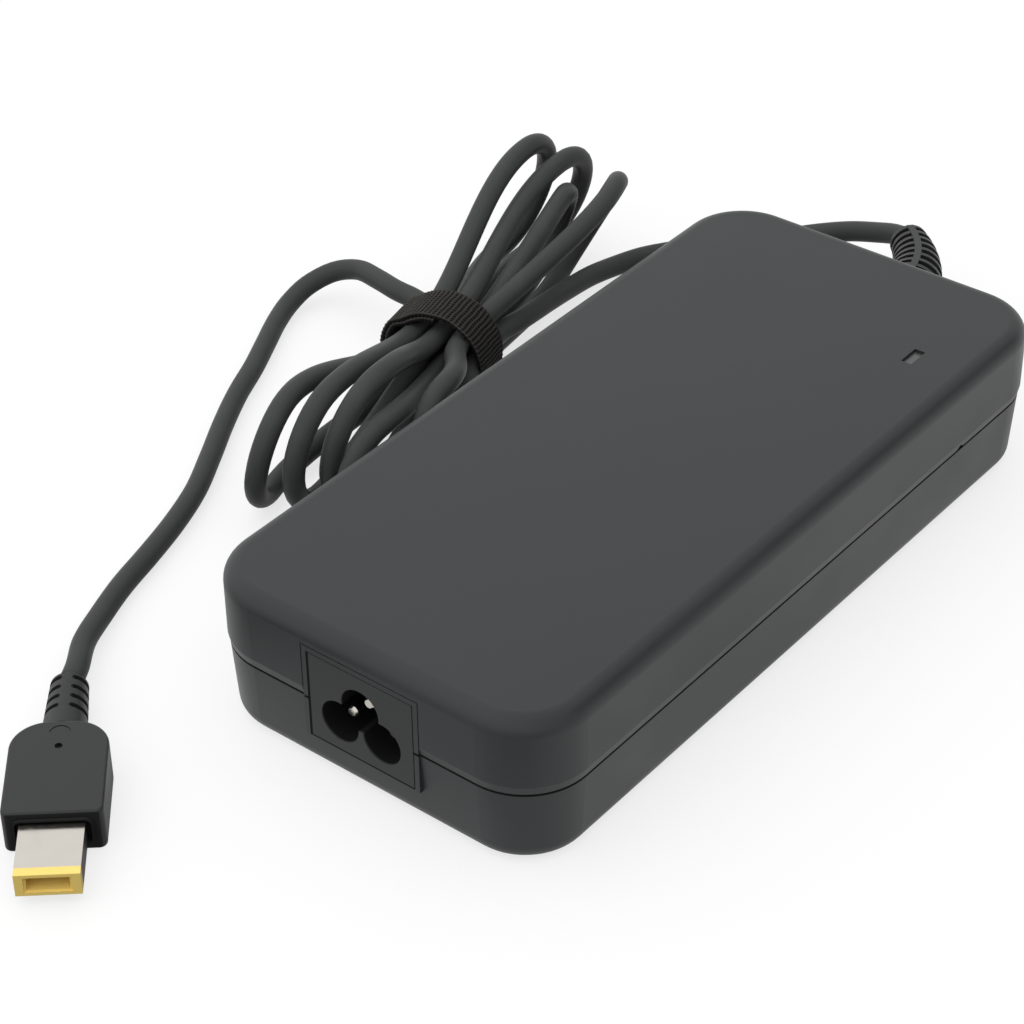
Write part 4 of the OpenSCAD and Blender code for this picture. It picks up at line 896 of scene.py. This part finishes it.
# %% Light pipe
def lamp_glass(name):
    """A clouded light pipe, milky and grey while the lamp behind it is off."""
    f = Finish(name)
    cloud = f.noise(f.place(), per_mm=1.2, detail=3)
    base = f.mix(cloud, srgb(60, 63, 62), srgb(76, 79, 77))
    return f.finish(base, 0.22 + 0.15 * cloud, f.bump(cloud, 0.02), Coat_Weight=0.3)


finishes["clear_plastic"] = lamp_glass("clear_plastic")
print(len(finishes), "finishes")

# %% [markdown]
# ## Giving each part its finish
# The record names a material slot for every CAD part, so the parts are dressed by a loop over
# the record and none is forgotten.

# %% Dress the CAD parts and the new pieces
slot_of = {part["node"]: part["material_slot"] for part in frame["record"]["subparts"]}
for name, part in nodes.items():
    part.data.materials.clear()
    part.data.materials.append(finishes[slot_of[name]])
cord.data.materials.append(finishes["cord_rubber"])
strap.data.materials.append(finishes["strap_fabric"])
print("dressed", len(nodes) + 2, "parts")

# %% [markdown]
# ## Studio
# Lamps would show as bright patches in the polished barrel, so none is used. The sky gives all
# the light. For soft light it is brightest overhead, a little tilted towards the connector, and
# falls off the other way, as under a wide cloth; the camera and anything glossy see plain white,
# but glossy rays find one dark card, behind the right-hand edge, that draws a line along it.
#
# The table looks pale but throws little light back up, which keeps the undersides of the cords
# deep, and it still takes the object's shadow. Glossy rays find it dimmer in front of the mains
# end, as if a dark cloth lay there, so that the front walls come out darker than the right-hand
# one.

# %% Which rays are looking
def ray(on, kind):
    """1 for rays of this kind, else 0."""
    return on.node("LightPath", out="Is " + kind + " Ray")


def seen_directly(on):
    """1 for the camera and for rays off or through glossy and clear things, else 0."""
    return on.larger(on.larger(ray(on, "Camera"), ray(on, "Glossy")), ray(on, "Transmission"))


# %% World
world = bpy.data.worlds.new("studio")
bpy.context.scene.world = world
world.use_nodes = True
world.node_tree.nodes.clear()
sky = Nodes(world.node_tree)
towards = sky.node("TexCoord", out="Generated")


def along(direction):
    """How far the ray points this way, from -1 to 1."""
    return sky.node("VectorMath", {"operation": "DOT_PRODUCT"},
                    {0: towards, 1: direction}, out="Value")


sky_level, sky_tilt, sky_least = 0.38, (-0.3, -0.35, 1.28), 0.02
soft = sky.node("Background", {}, {
    "Color": 1.0, "Strength": sky.larger(along(sky_tilt) + sky_level, sky_least)})
print("sky strength overhead", round(sky_level + sky_tilt[2], 2))

# %% The dark card, and the whole sky
card_direction = (0.60, 0.61, 0.52)
card_middle, card_darkness = (0.95, 0.985), 0.75
card_rim, rim_darkness = (0.2, 0.7), 0.3
near_card = along(card_direction)
card = (sky.between(near_card, *card_middle, 0.0, card_darkness)
        + sky.between(near_card, *card_rim, 0.0, rim_darkness))
white = sky.node("Background", {}, {"Color": 1.0, "Strength": 1.0 - card * ray(sky, "Glossy")})
both = sky.node("MixShader", {}, {0: seen_directly(sky), 1: soft, 2: white})
sky.node("OutputWorld", {}, {"Surface": both}, out=None)
card_half_width = math.degrees(math.acos(card_middle[0] / Vector(card_direction).length))
print("card reaches", round(card_half_width), "degrees from its middle")

# %% Floor
floor_reach = 6.0
floor_mesh = bpy.data.meshes.new("floor")
floor_mesh.from_pydata(
    [(-floor_reach, -floor_reach, 0), (floor_reach, -floor_reach, 0),
     (floor_reach, floor_reach, 0), (-floor_reach, floor_reach, 0)], [], [(0, 1, 2, 3)])
floor = bpy.data.objects.new("floor", floor_mesh)
bpy.context.scene.collection.objects.link(floor)
print("floor", 2 * floor_reach, "m wide")

# %% The floor's finish
floor_soft, floor_seen, floor_glow = (0.09, 0.09, 0.09), (0.86, 0.86, 0.86), 0.72
cloth_dims, cloth_from, cloth_to = 0.6, -106.0, -80.0
table = Finish("floor")
seen = seen_directly(table)
table.finish(table.mix(seen, floor_soft, floor_seen), 0.9, Specular_IOR_Level=0.0)
on_cloth = table.between(table.split(table.place(), "Y"), cloth_from, cloth_to, 1.0, 0.0)
glow = table.node("Emission", {}, {
    "Color": table.mix(cloth_dims * on_cloth * ray(table, "Glossy"), (1, 1, 1), (0, 0, 0)),
    "Strength": 1.0})
matt = Signal(table, table.shader.outputs[0])
surface = table.node("MixShader", {}, {0: seen * floor_glow, 1: matt, 2: glow})
output = next(n for n in table.tree.nodes if n.type == "OUTPUT_MATERIAL")
table.set(output, "Surface", surface)
floor_mesh.materials.append(table.material)
print("floor dimmer for glossy rays beyond y =", cloth_to, "mm")
